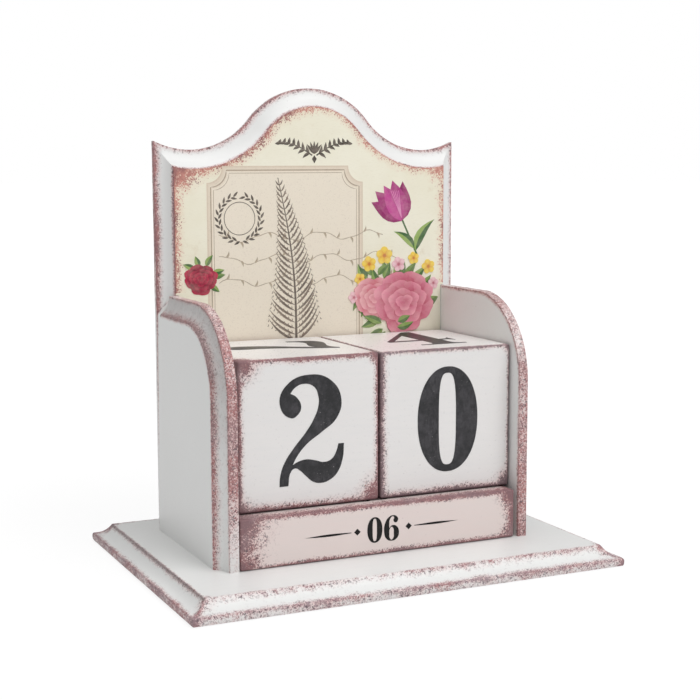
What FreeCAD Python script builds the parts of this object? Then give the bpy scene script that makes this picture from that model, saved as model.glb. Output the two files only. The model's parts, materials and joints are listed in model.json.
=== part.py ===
import FreeCAD, Part
import math
import os
import Sketcher
from FreeCAD import Placement, Rotation, Vector

# Perpetual block calendar in millimetres: a moulded base, two side panels and a bonnet-topped
# back panel form a bay; three month bars lie in its floor and two digit cubes stand on them.
# Origin: centre of the base's underside. +Z up, -Y front, +X to the right seen from the front.

doc = FreeCAD.newDocument("BlockCalendar")
sizes = doc.addObject("Spreadsheet::Sheet", "Sizes")

DRIVING_SIZES = [
    ("cube_edge", 60.0, "edge of a digit cube"),
    ("cube_gap", 0.8, "between the two cubes"),
    ("cube_side_gap", 0.4, "right cube to the right panel"),
    ("cube_play", 4.0, "spare width of the bay beyond the two cubes"),
    ("cube_set_back", 7.3, "cube faces behind the side panels' front edges"),
    ("cube_rear_gap", 1.4, "cubes to the back panel"),
    ("cube_round", 0.9, "rounding of the cubes' edges"),
    ("bar_section", 20.0, "height and depth of a month bar"),
    ("bar_gap", 0.2, "between two bars"),
    ("bar_end_play", 2.4, "spare width of the bay beyond a bar"),
    ("bar_side_gap", 0.3, "bars to the left panel"),
    ("bar_round", 0.6, "rounding of the bars' edges"),
    ("bar_rear_space", 8.3, "least space behind the rear bar"),
    ("seat_gap", 0.2, "under the bars, and between bars and cubes"),
    ("panel_thickness", 8.0, "side and back panels"),
    ("side_rise", 20.1, "side panels above the cubes"),
    ("side_corner_radius", 35.0, "rounded front top corner of a side panel"),
    ("side_cove_width", 7.6, "cove along a side panel's outer edge, on its face"),
    ("side_cove_depth", 4.0, "the same cove, across the panel's edge"),
    ("crown_rise", 86.5, "crown's top above the side panels"),
    ("crown_radius", 35.0, "convex arc at the top of the back panel"),
    ("shoulder_radius", 35.0, "concave arcs beside the crown"),
    ("shoulder_inset", 15.4, "lowest point of a shoulder from the panel's side"),
    ("back_cove_width", 7.8, "cove along the back panel's top edge"),
    ("back_side_cove_width", 5.8, "cove along the back panel's side edges"),
    ("back_cove_depth", 4.8, "both coves, into the back panel's front"),
    ("base_thickness", 8.0, "base board"),
    ("front_apron", 33.0, "base in front of the side panels"),
    ("rear_apron", 25.3, "base behind the back panel"),
    ("side_apron", 22.5, "base beside the side panels"),
    ("base_cove_width", 7.0, "cove round the base board"),
    ("base_cove_depth", 4.7, "the same cove, down from the top"),
    ("lip_round", 0.8, "rounding of the base board's lip"),
    ("sheet_thickness", 0.3, "printed paper glued to the back panel"),
    ("sheet_margin", 0.2, "bare wood between the paper and an edge"),
    ("screw_radius", 1.5, "countersunk wood screw"),
    ("screw_length", 25.0, "screw from head to tip"),
    ("screw_head_radius", 2.9, "screw's head"),
    ("screw_head_height", 1.7, "cone under the head"),
    ("screw_tip_length", 3.5, "screw's point"),
    ("screw_recess", 0.4, "head below the underside of the base"),
    ("screw_spacing", 40.0, "the two screws in one side panel"),
    ("back_screw_spacing", 80.0, "the two screws in the back panel"),
    ("pin_radius", 0.6, "brad through the back panel"),
    ("pin_length", 20.0, "brad with its head"),
    ("pin_head_radius", 1.1, "brad's head"),
    ("pin_head_height", 0.6, "brad's head"),
    ("pin_spacing", 34.0, "between the three brads of one side"),
    ("pin_first_height", 16.0, "lowest brad above the base"),
    ("hole_clearance", 0.05, "screw or brad to its hole, all round"),
]
for row, (alias, value, meaning) in enumerate(DRIVING_SIZES, start=1):
    sizes.set(f"A{row}", alias)
    sizes.set(f"B{row}", str(value))
    sizes.set(f"C{row}", meaning)
    sizes.setAlias(f"B{row}", alias)
doc.recompute()

# Four months stand on the long faces of each bar; the bars lie one behind the other.
BAR_NODES = ["month_bar_front", "month_bar_middle", "month_bar_rear"]

# Sizes worked out from the driving ones, as expressions.
BAY_WIDTH = "(2 * Sizes.cube_edge + Sizes.cube_play)"
BODY_WIDTH = f"({BAY_WIDTH} + 2 * Sizes.panel_thickness)"
CUBE_ROW_DEPTH = "(Sizes.cube_set_back + Sizes.cube_edge + Sizes.cube_rear_gap)"
BAR_ROW_DEPTH = (
    f"({len(BAR_NODES)} * Sizes.bar_section + {len(BAR_NODES) - 1} * Sizes.bar_gap"
    " + Sizes.bar_rear_space)"
)
BAY_DEPTH = f"max({CUBE_ROW_DEPTH}; {BAR_ROW_DEPTH})"
BASE_WIDTH = f"({BODY_WIDTH} + 2 * Sizes.side_apron)"
BASE_DEPTH = f"(Sizes.front_apron + {BAY_DEPTH} + Sizes.panel_thickness + Sizes.rear_apron)"
BAY_FRONT_Y = f"(Sizes.front_apron - {BASE_DEPTH} / 2)"
BACK_FRONT_Y = f"({BAY_FRONT_Y} + {BAY_DEPTH})"
BACK_REAR_Y = f"({BACK_FRONT_Y} + Sizes.panel_thickness)"
BASE_TOP = "Sizes.base_thickness"
BAR_BOTTOM = f"({BASE_TOP} + Sizes.seat_gap)"
CUBE_BOTTOM = f"({BAR_BOTTOM} + Sizes.bar_section + Sizes.seat_gap)"
SIDE_TOP = f"({CUBE_BOTTOM} + Sizes.cube_edge + Sizes.side_rise)"
SIDE_HEIGHT = f"({SIDE_TOP} - {BASE_TOP})"
CROWN_TOP = f"({SIDE_TOP} + Sizes.crown_rise)"
CROWN_CENTRE_Z = f"({CROWN_TOP} - Sizes.crown_radius)"
SHOULDER_X = f"({BODY_WIDTH} / 2 - Sizes.shoulder_inset)"
ARC_SUM = "(Sizes.crown_radius + Sizes.shoulder_radius)"
SHOULDER_CENTRE_Z = f"({CROWN_CENTRE_Z} + sqrt({ARC_SUM} ^ 2 - {SHOULDER_X} ^ 2))"
ARC_HALF_ANGLE = f"asin({SHOULDER_X} / {ARC_SUM})"
PANEL_MIDDLE_X = f"(({BAY_WIDTH} + Sizes.panel_thickness) / 2)"

ALONG_X = Rotation(Vector(0, 1, 0), 90)
ALONG_Y = Rotation(Vector(1, 0, 0), -90)
ALONG_Z = Rotation()
PAST = 10.0  # how far a cutter runs beyond the piece that it cuts


def cove_radius(width, depth):
    """Radius of the cutter whose round meets the edge level, width by depth."""
    return f"(({width} ^ 2 + {depth} ^ 2) / (2 * {depth}))"


SIDE_COVE = cove_radius("Sizes.side_cove_width", "Sizes.side_cove_depth")
BACK_COVE = cove_radius("Sizes.back_cove_width", "Sizes.back_cove_depth")
BACK_SIDE_COVE = cove_radius("Sizes.back_side_cove_width", "Sizes.back_cove_depth")
BASE_COVE = cove_radius("Sizes.base_cove_width", "Sizes.base_cove_depth")


def bind(item, **expressions):
    """Ties properties to expressions; an underscore in a name stands for a dot."""
    for name, expression in expressions.items():
        item.setExpression(name.replace("_", "."), expression)


def put(item, x="0", y="0", z="0", turn=ALONG_Z):
    item.Placement = Placement(Vector(0, 0, 0), turn)
    bind(item, Placement_Base_x=x, Placement_Base_y=y, Placement_Base_z=z)
    return item


def box(name, length, width, height, x, y, z):
    item = doc.addObject("Part::Box", name)
    bind(item, Length=length, Width=width, Height=height)
    return put(item, x, y, z)


def cylinder(name, radius, height, x, y, z, turn=ALONG_Z):
    item = doc.addObject("Part::Cylinder", name)
    bind(item, Radius=radius, Height=height)
    return put(item, x, y, z, turn)


def cone(name, bottom_radius, top_radius, height, x, y, z, turn=ALONG_Z):
    item = doc.addObject("Part::Cone", name)
    bind(item, Radius1=bottom_radius, Radius2=top_radius, Height=height)
    return put(item, x, y, z, turn)


def ring(name, bend_radius, tube_radius, sweep, x, y, z, turn):
    """Part of a torus: it starts on the turned X axis and sweeps about the turned Z axis."""
    item = doc.addObject("Part::Torus", name)
    bind(item, Radius1=bend_radius, Radius2=tube_radius, Angle3=sweep)
    return put(item, x, y, z, turn)


def fuse(name, items):
    item = doc.addObject("Part::MultiFuse", name)
    item.Shapes = items
    return item


def common(name, items):
    item = doc.addObject("Part::MultiCommon", name)
    item.Shapes = items
    return item


def cut(name, solid, tools):
    item = doc.addObject("Part::Cut", name)
    item.Base = solid
    item.Tool = fuse(f"{name}_cutters", tools)
    return item


def group(name, items):
    item = doc.addObject("Part::Compound", name)
    item.Links = items
    return item


def origin_plane(body, role):
    return next(plane for plane in body.Origin.OriginFeatures if plane.Role == role)


def new_sketch(body, role, name):
    sketch = body.newObject("Sketcher::SketchObject", name)
    sketch.AttachmentSupport = [(origin_plane(body, role), "")]
    sketch.MapMode = "FlatFace"
    return sketch


def measure(sketch, kind, *where, expression, start):
    """Adds a driving dimension and ties it to an expression."""
    index = sketch.addConstraint(Sketcher.Constraint(kind, *where, start))
    sketch.setExpression(f"Constraints[{index}]", expression)


def rectangle(sketch, width, height, start):
    """A rectangle centred on the sketch's origin; start is its first size."""
    across, up = start[0] / 2, start[1] / 2
    corners = [
        Vector(-across, -up, 0), Vector(across, -up, 0), Vector(across, up, 0), Vector(-across, up, 0)
    ]
    for i in range(4):
        sketch.addGeometry(Part.LineSegment(corners[i], corners[(i + 1) % 4]))
    for i in range(4):
        sketch.addConstraint(Sketcher.Constraint("Coincident", i, 2, (i + 1) % 4, 1))
        sketch.addConstraint(Sketcher.Constraint("Horizontal" if i % 2 == 0 else "Vertical", i))
    sketch.addConstraint(Sketcher.Constraint("Symmetric", 0, 1, 2, 1, -1, 1))
    measure(sketch, "DistanceX", 0, 1, 0, 2, expression=width, start=start[0])
    measure(sketch, "DistanceY", 1, 1, 1, 2, expression=height, start=start[1])


def rounded_block(name, width, depth, height, radius, start):
    """A block with every edge rounded, standing on its own origin."""
    body = doc.addObject("PartDesign::Body", name)
    outline = new_sketch(body, "XY_Plane", f"{name}_outline")
    rectangle(outline, width, depth, start)
    pad = body.newObject("PartDesign::Pad", f"{name}_pad")
    pad.Profile = outline
    pad.setExpression("Length", height)
    doc.recompute()
    rounding = body.newObject("PartDesign::Fillet", f"{name}_rounding")
    rounding.Base = (pad, [""])
    rounding.UseAllEdges = True
    rounding.setExpression("Radius", radius)
    outline.Visibility = False
    return body


# Base board: a plain board with a cove cut along each edge of its top.
def make_base_board():
    board = rounded_block(
        "base_blank", BASE_WIDTH, BASE_DEPTH, BASE_TOP, "Sizes.lip_round", (185.0, 135.0)
    )
    across, deep = f"({BASE_WIDTH} + 2 * {PAST})", f"({BASE_DEPTH} + 2 * {PAST})"
    level = f"({BASE_TOP} - Sizes.base_cove_depth + {BASE_COVE})"
    left, front = f"(-{across} / 2)", f"(-{deep} / 2)"
    coves = [
        cylinder("base_cove_front", BASE_COVE, across, left, f"(-{BASE_DEPTH} / 2)", level, ALONG_X),
        cylinder("base_cove_rear", BASE_COVE, across, left, f"({BASE_DEPTH} / 2)", level, ALONG_X),
        cylinder("base_cove_left", BASE_COVE, deep, f"(-{BASE_WIDTH} / 2)", front, level, ALONG_Y),
        cylinder("base_cove_right", BASE_COVE, deep, f"({BASE_WIDTH} / 2)", front, level, ALONG_Y),
    ]
    return cut("base_board", board, coves + screw_holes("base"))


# Side panels: the front top corner is round, and a cove follows the outer face's edge.
def make_side_panel(name, side):
    inner = f"({side} * {BAY_WIDTH} / 2)"
    low_x = f"({inner} - {(1 - side) // 2} * Sizes.panel_thickness)"
    outer = f"({side} * {BODY_WIDTH} / 2)"
    cutter_x = f"({outer} + {side} * ({SIDE_COVE} - Sizes.side_cove_depth))"
    corner_y = f"({BAY_FRONT_Y} + Sizes.side_corner_radius)"
    corner_z = f"({SIDE_TOP} - Sizes.side_corner_radius)"
    # Local X points up and a quarter turn runs forwards, for the round corner and its cove.
    quarter = Rotation(Vector(0, 0, 1), Vector(0, -1, 0), Vector(1, 0, 0), "ZXY")
    corner = cylinder(f"{name}_corner", "Sizes.side_corner_radius", "Sizes.panel_thickness",
                      low_x, corner_y, corner_z, quarter)
    corner.Angle = 90
    blank = fuse(
        f"{name}_blank",
        [
            box(f"{name}_lower", "Sizes.panel_thickness", BAY_DEPTH,
                f"({SIDE_HEIGHT} - Sizes.side_corner_radius)", low_x, BAY_FRONT_Y, BASE_TOP),
            box(f"{name}_rear", "Sizes.panel_thickness", f"({BAY_DEPTH} - Sizes.side_corner_radius)",
                SIDE_HEIGHT, low_x, corner_y, BASE_TOP),
            corner,
        ],
    )
    blank.Refine = True
    top_run = f"({BACK_FRONT_Y} - {corner_y} + {PAST})"
    front_run = f"({corner_z} - {BASE_TOP} + {PAST})"
    coves = [
        cylinder(f"{name}_cove_top", SIDE_COVE, top_run, cutter_x, corner_y, SIDE_TOP, ALONG_Y),
        cylinder(f"{name}_cove_front", SIDE_COVE, front_run,
                 cutter_x, BAY_FRONT_Y, f"({BASE_TOP} - {PAST})"),
        ring(f"{name}_cove_corner", "Sizes.side_corner_radius", SIDE_COVE, "90",
             cutter_x, corner_y, corner_z, quarter),
    ]
    return cut(name, blank, coves + screw_holes(name) + pin_holes(name, side))


def bonnet(name, half_width, offset, bottom, thickness, front_y):
    """A plate with the back panel's outline moved inwards by offset, its front at front_y."""
    body = doc.addObject("PartDesign::Body", name)
    outline = new_sketch(body, "XZ_Plane", f"{name}_outline")
    crown, shoulder = f"(Sizes.crown_radius - {offset})", f"(Sizes.shoulder_radius + {offset})"
    # First values, close to the real ones, from which the sketch's solver starts.
    wide, low, crown_z, shoulder_x, shoulder_z, radius = 66.0, 8.0, 160.0, 54.6, 203.8, 35.0
    turn, corner_turn = 0.6754, 1.2365  # radians: arc junction, and shoulder arc at the corner
    right = Vector(shoulder_x, shoulder_z, 0)
    left = Vector(-shoulder_x, shoulder_z, 0)
    up = Vector(0, 0, 1)
    pi = math.pi
    arcs = [
        Part.ArcOfCircle(Part.Circle(right, up, radius), pi + turn, 2 * pi - corner_turn),
        Part.ArcOfCircle(Part.Circle(Vector(0, crown_z, 0), up, radius), turn, pi - turn),
        Part.ArcOfCircle(Part.Circle(left, up, radius), pi + corner_turn, 2 * pi - turn),
    ]
    corner_right, corner_left = arcs[0].EndPoint, arcs[2].StartPoint
    base_right, base_left = Vector(wide, low, 0), Vector(-wide, low, 0)
    sketch_lines = [
        Part.LineSegment(base_left, base_right),
        Part.LineSegment(base_right, corner_right),
        Part.LineSegment(corner_left, base_left),
    ]
    for piece in sketch_lines + arcs:
        outline.addGeometry(piece)
    floor, right_line, left_line, right_arc, crown_arc, left_arc = range(6)
    joins = [
        ("Coincident", floor, 2, right_line, 1),
        ("Coincident", right_line, 2, right_arc, 2),
        ("Tangent", right_arc, 1, crown_arc, 1),
        ("Tangent", crown_arc, 2, left_arc, 2),
        ("Coincident", left_arc, 1, left_line, 1),
        ("Coincident", left_line, 2, floor, 1),
        ("Vertical", right_line),
        ("Vertical", left_line),
        ("Symmetric", floor, 1, floor, 2, -2),
        ("PointOnObject", crown_arc, 3, -2),
        ("Symmetric", left_arc, 3, right_arc, 3, -2),
    ]
    for join in joins:
        outline.addConstraint(Sketcher.Constraint(*join))
    measure(outline, "DistanceX", floor, 1, floor, 2, expression=f"(2 * {half_width})", start=2 * wide)
    measure(outline, "DistanceY", -1, 1, floor, 1, expression=bottom, start=low)
    measure(outline, "DistanceY", -1, 1, crown_arc, 3, expression=CROWN_CENTRE_Z, start=crown_z)
    measure(outline, "DistanceX", -1, 1, right_arc, 3, expression=SHOULDER_X, start=shoulder_x)
    measure(outline, "Radius", crown_arc, expression=crown, start=radius)
    measure(outline, "Radius", right_arc, expression=shoulder, start=radius)
    pad = body.newObject("PartDesign::Pad", f"{name}_pad")
    pad.Profile = outline
    pad.Reversed = True
    pad.setExpression("Length", thickness)
    return put(body, y=front_y)


# Back panel: bonnet top, a cove on the front edge down to the side panels.
def make_back_panel():
    half = f"({BODY_WIDTH} / 2)"
    blank = bonnet("back_blank", half, "0", BASE_TOP, "Sizes.panel_thickness", BACK_FRONT_Y)
    cutter_y = f"({BACK_FRONT_Y} - {BACK_COVE} + Sizes.back_cove_depth)"
    side_cutter_y = f"({BACK_FRONT_Y} - {BACK_SIDE_COVE} + Sizes.back_cove_depth)"
    sweep = f"(2 * {ARC_HALF_ANGLE})"
    # Each ring lies in the panel's plane (roll 90), and pitch centres its sweep up or down.
    coves = []
    for name, x, z, radius, middle in [
        ("back_cove_crown", "0", CROWN_CENTRE_Z, "Sizes.crown_radius", 90),
        ("back_cove_left", f"(-{SHOULDER_X})", SHOULDER_CENTRE_Z, "Sizes.shoulder_radius", 270),
        ("back_cove_right", SHOULDER_X, SHOULDER_CENTRE_Z, "Sizes.shoulder_radius", 270),
    ]:
        arc = ring(name, radius, BACK_COVE, sweep, x, cutter_y, z, ALONG_Z)
        arc.setExpression("Placement.Rotation", f"rotation(0 deg; {ARC_HALF_ANGLE} - {middle} deg; 90 deg)")
        coves.append(arc)
    for name, side in [("left", -1), ("right", 1)]:
        edge = f"({side} * {BODY_WIDTH} / 2)"
        run = cylinder(f"back_cove_side_{name}", BACK_SIDE_COVE, f"(Sizes.crown_rise + 4 * {PAST})",
                       edge, side_cutter_y, f"({SIDE_TOP} - 2 * {PAST})")
        above = box(f"above_side_{name}", f"(4 * {PAST})", f"(4 * {PAST})",
                    f"(Sizes.crown_rise + 2 * {PAST})", f"({edge} - 2 * {PAST})",
                    f"({BACK_FRONT_Y} - 2 * {PAST})", SIDE_TOP)
        side_cove = cylinder(f"side_cove_on_{name}", SIDE_COVE, f"(4 * {PAST})",
                             f"({edge} + {side} * ({SIDE_COVE} - Sizes.side_cove_depth))",
                             f"({BACK_FRONT_Y} - 2 * {PAST})", SIDE_TOP, ALONG_Y)
        coves.append(common(f"back_cove_{name}_mitred",
                            [run, fuse(f"open_to_{name}", [above, side_cove])]))
    pins = pin_holes("back", -1) + pin_holes("back", 1)
    return cut("back_panel", blank, coves + screw_holes("back") + pins)


# Printed paper on the back panel's face: inside the coves, and between the side panels.
def make_decor_sheet():
    top_offset = "(Sizes.back_cove_width + Sizes.sheet_margin)"
    half = f"({BODY_WIDTH} / 2 - Sizes.back_side_cove_width - Sizes.sheet_margin)"
    bottom = f"({BASE_TOP} + Sizes.sheet_margin)"
    front = f"({BACK_FRONT_Y} - Sizes.sheet_thickness)"
    blank = bonnet("sheet_blank", half, top_offset, bottom, "Sizes.sheet_thickness", front)
    notch_width = f"({BAY_WIDTH} / 2 - Sizes.sheet_margin)"
    notches = []
    for name, side in [("left", -1), ("right", 1)]:
        low_x = f"({side} * {notch_width} - {(1 - side) // 2} * {BODY_WIDTH})"
        notches.append(
            box(f"sheet_notch_{name}", BODY_WIDTH, f"(2 * {PAST})",
                f"({SIDE_HEIGHT} + Sizes.sheet_margin + {PAST})", low_x,
                f"({BACK_FRONT_Y} - {PAST})", f"({BASE_TOP} - {PAST})")
        )
    return cut("decor_sheet", blank, notches)


# Cubes and bars.
def make_cube(name, low_x):
    cube = rounded_block(
        name, "Sizes.cube_edge", "Sizes.cube_edge", "Sizes.cube_edge", "Sizes.cube_round", (60.0, 60.0)
    )
    return put(cube, f"({low_x} + Sizes.cube_edge / 2)",
               f"({BACK_FRONT_Y} - Sizes.cube_rear_gap - Sizes.cube_edge / 2)", CUBE_BOTTOM)


RIGHT_CUBE_X = f"({BAY_WIDTH} / 2 - Sizes.cube_side_gap - Sizes.cube_edge)"
LEFT_CUBE_X = f"({RIGHT_CUBE_X} - Sizes.cube_gap - Sizes.cube_edge)"


def make_bar(name, place):
    length = f"({BAY_WIDTH} - Sizes.bar_end_play)"
    bar = rounded_block(
        name, length, "Sizes.bar_section", "Sizes.bar_section", "Sizes.bar_round", (121.6, 20.0)
    )
    return put(bar, "(Sizes.bar_side_gap - Sizes.bar_end_play / 2)",
               f"({BAY_FRONT_Y} + Sizes.bar_section / 2"
               f" + {place} * (Sizes.bar_section + Sizes.bar_gap))", BAR_BOTTOM)


# Screws go up through the base, brads go in from behind through the back panel.
SIDE_SCREW_Y = [
    f"({BAY_FRONT_Y} + {BAY_DEPTH} / 2 + {half} * Sizes.screw_spacing / 2)" for half in (-1, 1)
]
BACK_SCREW_Y = f"({BACK_FRONT_Y} + Sizes.panel_thickness / 2)"
SCREW_PLACES = {
    "left_side_panel": [(f"(-{PANEL_MIDDLE_X})", y) for y in SIDE_SCREW_Y],
    "right_side_panel": [(PANEL_MIDDLE_X, y) for y in SIDE_SCREW_Y],
    "back": [(f"({half} * Sizes.back_screw_spacing / 2)", BACK_SCREW_Y) for half in (-1, 1)],
}
SCREW_PLACES["base"] = [place for places in SCREW_PLACES.values() for place in places]
PIN_HEIGHTS = [
    f"({BASE_TOP} + Sizes.pin_first_height + {i} * Sizes.pin_spacing)" for i in range(3)
]


def screw_holes(board):
    radius = "(Sizes.screw_radius + Sizes.hole_clearance)"
    head = "(Sizes.screw_head_radius + Sizes.hole_clearance)"
    holes = []
    for i, (x, y) in enumerate(SCREW_PLACES[board]):
        name = f"{board}_screw_hole_{i}"
        bottom = f"(Sizes.screw_recess - Sizes.hole_clearance)"
        holes.append(cylinder(name, radius, "(Sizes.screw_length + 2 * Sizes.hole_clearance)",
                              x, y, bottom))
        if board == "base":
            holes.append(cylinder(f"{name}_mouth", head, f"(Sizes.screw_recess + {PAST})",
                                  x, y, f"(-{PAST})"))
            holes.append(cone(f"{name}_countersink", head, radius, "Sizes.screw_head_height",
                              x, y, "Sizes.screw_recess"))
    return holes


def make_screws():
    screws = []
    for i, (x, y) in enumerate(SCREW_PLACES["base"]):
        name = f"screw_{i}"
        shank_top = "(Sizes.screw_recess + Sizes.screw_length - Sizes.screw_tip_length)"
        parts = [
            cone(f"{name}_head", "Sizes.screw_head_radius", "Sizes.screw_radius",
                 "Sizes.screw_head_height", x, y, "Sizes.screw_recess"),
            cylinder(f"{name}_shank", "Sizes.screw_radius",
                     "(Sizes.screw_length - Sizes.screw_tip_length - Sizes.screw_head_height)",
                     x, y, "(Sizes.screw_recess + Sizes.screw_head_height)"),
            cone(f"{name}_tip", "Sizes.screw_radius", "0", "Sizes.screw_tip_length", x, y, shank_top),
        ]
        slot_length = "(1.2 * Sizes.screw_head_radius)"
        slot_width = "(0.3 * Sizes.screw_head_radius)"
        slot_depth = "(0.6 * Sizes.screw_head_height)"
        slots = [
            box(f"{name}_slot_{j}", length, width, f"({slot_depth} + {PAST})",
                f"({x} - {length} / 2)", f"({y} - {width} / 2)", f"(Sizes.screw_recess - {PAST})")
            for j, (length, width) in enumerate([(slot_length, slot_width), (slot_width, slot_length)])
        ]
        screws.append(cut(name, fuse(f"{name}_blank", parts), slots))
    return group("base_screws", screws)


def pin_holes(board, side):
    radius = "(Sizes.pin_radius + Sizes.hole_clearance)"
    head = "(Sizes.pin_head_radius + Sizes.hole_clearance)"
    holes = []
    for i, z in enumerate(PIN_HEIGHTS):
        x = f"({side} * {PANEL_MIDDLE_X})"
        name = f"{board}_pin_hole_{side + 1}_{i}"
        depth = "(Sizes.pin_length + Sizes.hole_clearance)"
        holes.append(cylinder(name, radius, f"({depth} + {PAST})", x,
                              f"({BACK_REAR_Y} - {depth})", z, ALONG_Y))
        if board == "back":
            head_depth = "(Sizes.pin_head_height + Sizes.hole_clearance)"
            holes.append(cylinder(f"{name}_head", head, f"({head_depth} + {PAST})", x,
                                  f"({BACK_REAR_Y} - {head_depth})", z, ALONG_Y))
    return holes


def make_pins():
    pins = []
    for side in (-1, 1):
        for i, z in enumerate(PIN_HEIGHTS):
            x = f"({side} * {PANEL_MIDDLE_X})"
            name = f"pin_{side + 1}_{i}"
            pins.append(
                fuse(name, [
                    cylinder(f"{name}_shank", "Sizes.pin_radius", "Sizes.pin_length", x,
                             f"({BACK_REAR_Y} - Sizes.pin_length)", z, ALONG_Y),
                    cylinder(f"{name}_head", "Sizes.pin_head_radius", "Sizes.pin_head_height", x,
                             f"({BACK_REAR_Y} - Sizes.pin_head_height)", z, ALONG_Y),
                ])
            )
    return group("back_pins", pins)


nodes = {
    "base_board": make_base_board(),
    "left_side_panel": make_side_panel("left_side_panel", -1),
    "right_side_panel": make_side_panel("right_side_panel", 1),
    "back_panel": make_back_panel(),
    "decor_sheet": make_decor_sheet(),
    "left_digit_cube": make_cube("left_digit_cube", LEFT_CUBE_X),
    "right_digit_cube": make_cube("right_digit_cube", RIGHT_CUBE_X),
    **{name: make_bar(name, place) for place, name in enumerate(BAR_NODES)},
    "base_screws": make_screws(),
    "back_pins": make_pins(),
}
for node, item in nodes.items():
    item.Label = node
doc.recompute()

for item in doc.Objects:
    if "Invalid" in item.State or "Error" in item.State:
        raise RuntimeError(f"{item.Label} did not compute: {item.State}")
os.makedirs("parts", exist_ok=True)
for node, item in nodes.items():
    if item.Shape.isNull() or not item.Shape.isValid():
        raise RuntimeError(f"{node} has no valid shape")
for node, item in nodes.items():
    item.Shape.exportStep(f"parts/{node}.step")
    limits = item.Shape.BoundBox
    print(
        f"{node}: {len(item.Shape.Solids)} solid(s), {item.Shape.Volume:.0f} mm3,"
        f" x {limits.XMin:.1f}..{limits.XMax:.1f}, y {limits.YMin:.1f}..{limits.YMax:.1f},"
        f" z {limits.ZMin:.1f}..{limits.ZMax:.1f}"
    )
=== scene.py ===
"""Perpetual block calendar: painted and rubbed wood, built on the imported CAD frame.
Lengths are in mm, and mesh_piece turns them into Blender's metres."""
import json
import random
from itertools import product
from math import asin, copysign, cos, degrees, dist, exp, hypot, inf, pi, radians, sin, sqrt, tan, tau

import bmesh
import bpy
from mathutils import Matrix, Vector, noise

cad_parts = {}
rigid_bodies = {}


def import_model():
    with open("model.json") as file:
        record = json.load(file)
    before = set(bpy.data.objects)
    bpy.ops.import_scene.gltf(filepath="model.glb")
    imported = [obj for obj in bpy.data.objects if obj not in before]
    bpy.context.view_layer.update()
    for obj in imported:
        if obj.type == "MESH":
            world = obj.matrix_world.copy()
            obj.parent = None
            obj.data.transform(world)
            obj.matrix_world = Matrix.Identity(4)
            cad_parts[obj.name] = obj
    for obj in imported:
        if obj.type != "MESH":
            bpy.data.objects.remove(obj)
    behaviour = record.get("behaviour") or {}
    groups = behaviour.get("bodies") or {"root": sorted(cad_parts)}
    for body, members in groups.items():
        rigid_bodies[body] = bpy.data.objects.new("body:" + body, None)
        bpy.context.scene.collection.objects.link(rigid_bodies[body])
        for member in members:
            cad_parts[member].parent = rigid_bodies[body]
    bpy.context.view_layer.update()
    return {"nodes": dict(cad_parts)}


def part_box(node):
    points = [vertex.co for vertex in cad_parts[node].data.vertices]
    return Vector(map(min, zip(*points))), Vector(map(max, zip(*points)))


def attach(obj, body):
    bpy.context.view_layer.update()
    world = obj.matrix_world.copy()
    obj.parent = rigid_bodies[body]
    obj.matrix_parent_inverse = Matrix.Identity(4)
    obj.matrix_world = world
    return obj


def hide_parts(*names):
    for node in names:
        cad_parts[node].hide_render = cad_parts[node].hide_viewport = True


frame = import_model()

MM = 0.001


# ---- sizes
def extent(node):
    """A CAD node's lowest and highest corners, to the tenth that it is drawn in."""
    return [Vector([round(c / MM, 1) for c in corner]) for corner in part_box(node)]


BASE_X, BASE_Y, BASE_TOP = extent("base_board")[1]
(PANEL_IN, SIDE_FRONT, _), (PANEL_OUT, BACK_FRONT, SIDE_TOP) = extent("right_side_panel")
BACK_REAR, CROWN_TOP = extent("back_panel")[1].yz
BACK_REAR -= 0.05  # the board stops this much short of the node, clear of the brads' heads
SHEET_Y = extent("decor_sheet")[0].y
CUBE_FRONT, CUBE_FOOT = extent("left_digit_cube")[0].yz

# The coves' widths and depths are the CAD's, but for the back panel's side coves, which are
# 0.9 wider, as in the photograph.
BASE_COVE, BASE_COVE_DEPTH = 7.0, 4.7
SIDE_COVE, SIDE_COVE_DEPTH = 7.6, 4.0
BACK_COVE, BACK_SIDE_COVE, BACK_COVE_DEPTH = 7.8, 6.7, 4.8
BASE_LIP = BASE_TOP - BASE_COVE_DEPTH
SIDE_STRIP = PANEL_OUT - SIDE_COVE_DEPTH
BACK_EDGE = BACK_FRONT + BACK_COVE_DEPTH

# a side panel's round corner, and the bonnet top's arcs, which meet on a slope
SIDE_ROUND = 35.0
CORNER_Y, CORNER_Z = SIDE_FRONT + SIDE_ROUND, SIDE_TOP - SIDE_ROUND
ARC, SHOULDER_INSET = 35.0, 15.4
CROWN_Z, SHOULDER_X = CROWN_TOP - ARC, PANEL_OUT - SHOULDER_INSET
SHOULDER_Z = CROWN_Z + sqrt((2 * ARC) ** 2 - SHOULDER_X ** 2)
TIP_Z = round(SHOULDER_Z - sqrt(ARC ** 2 - SHOULDER_INSET ** 2), 1)  # the top corners

SHEET_MARGIN = 0.2
SHEET_X = PANEL_OUT - BACK_SIDE_COVE - SHEET_MARGIN
SCREW_SPACING, BACK_SCREW_SPACING = 40.0, 80.0
SCREW_HOLE = ((2.95, 0.0), (2.95, 0.4), (1.55, 2.1))  # radius and height, going up


def srgb(red, green, blue):
    """A colour as picked on screen, 0 to 255, as the linear values that Blender takes."""
    values = [c / 255 for c in (red, green, blue)]
    return (*[c / 12.92 if c <= 0.04045 else ((c + 0.055) / 1.055) ** 2.4 for c in values], 1.0)


def blended(first, second, share):
    return tuple(a + (b - a) * share for a, b in zip(first, second))


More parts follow.
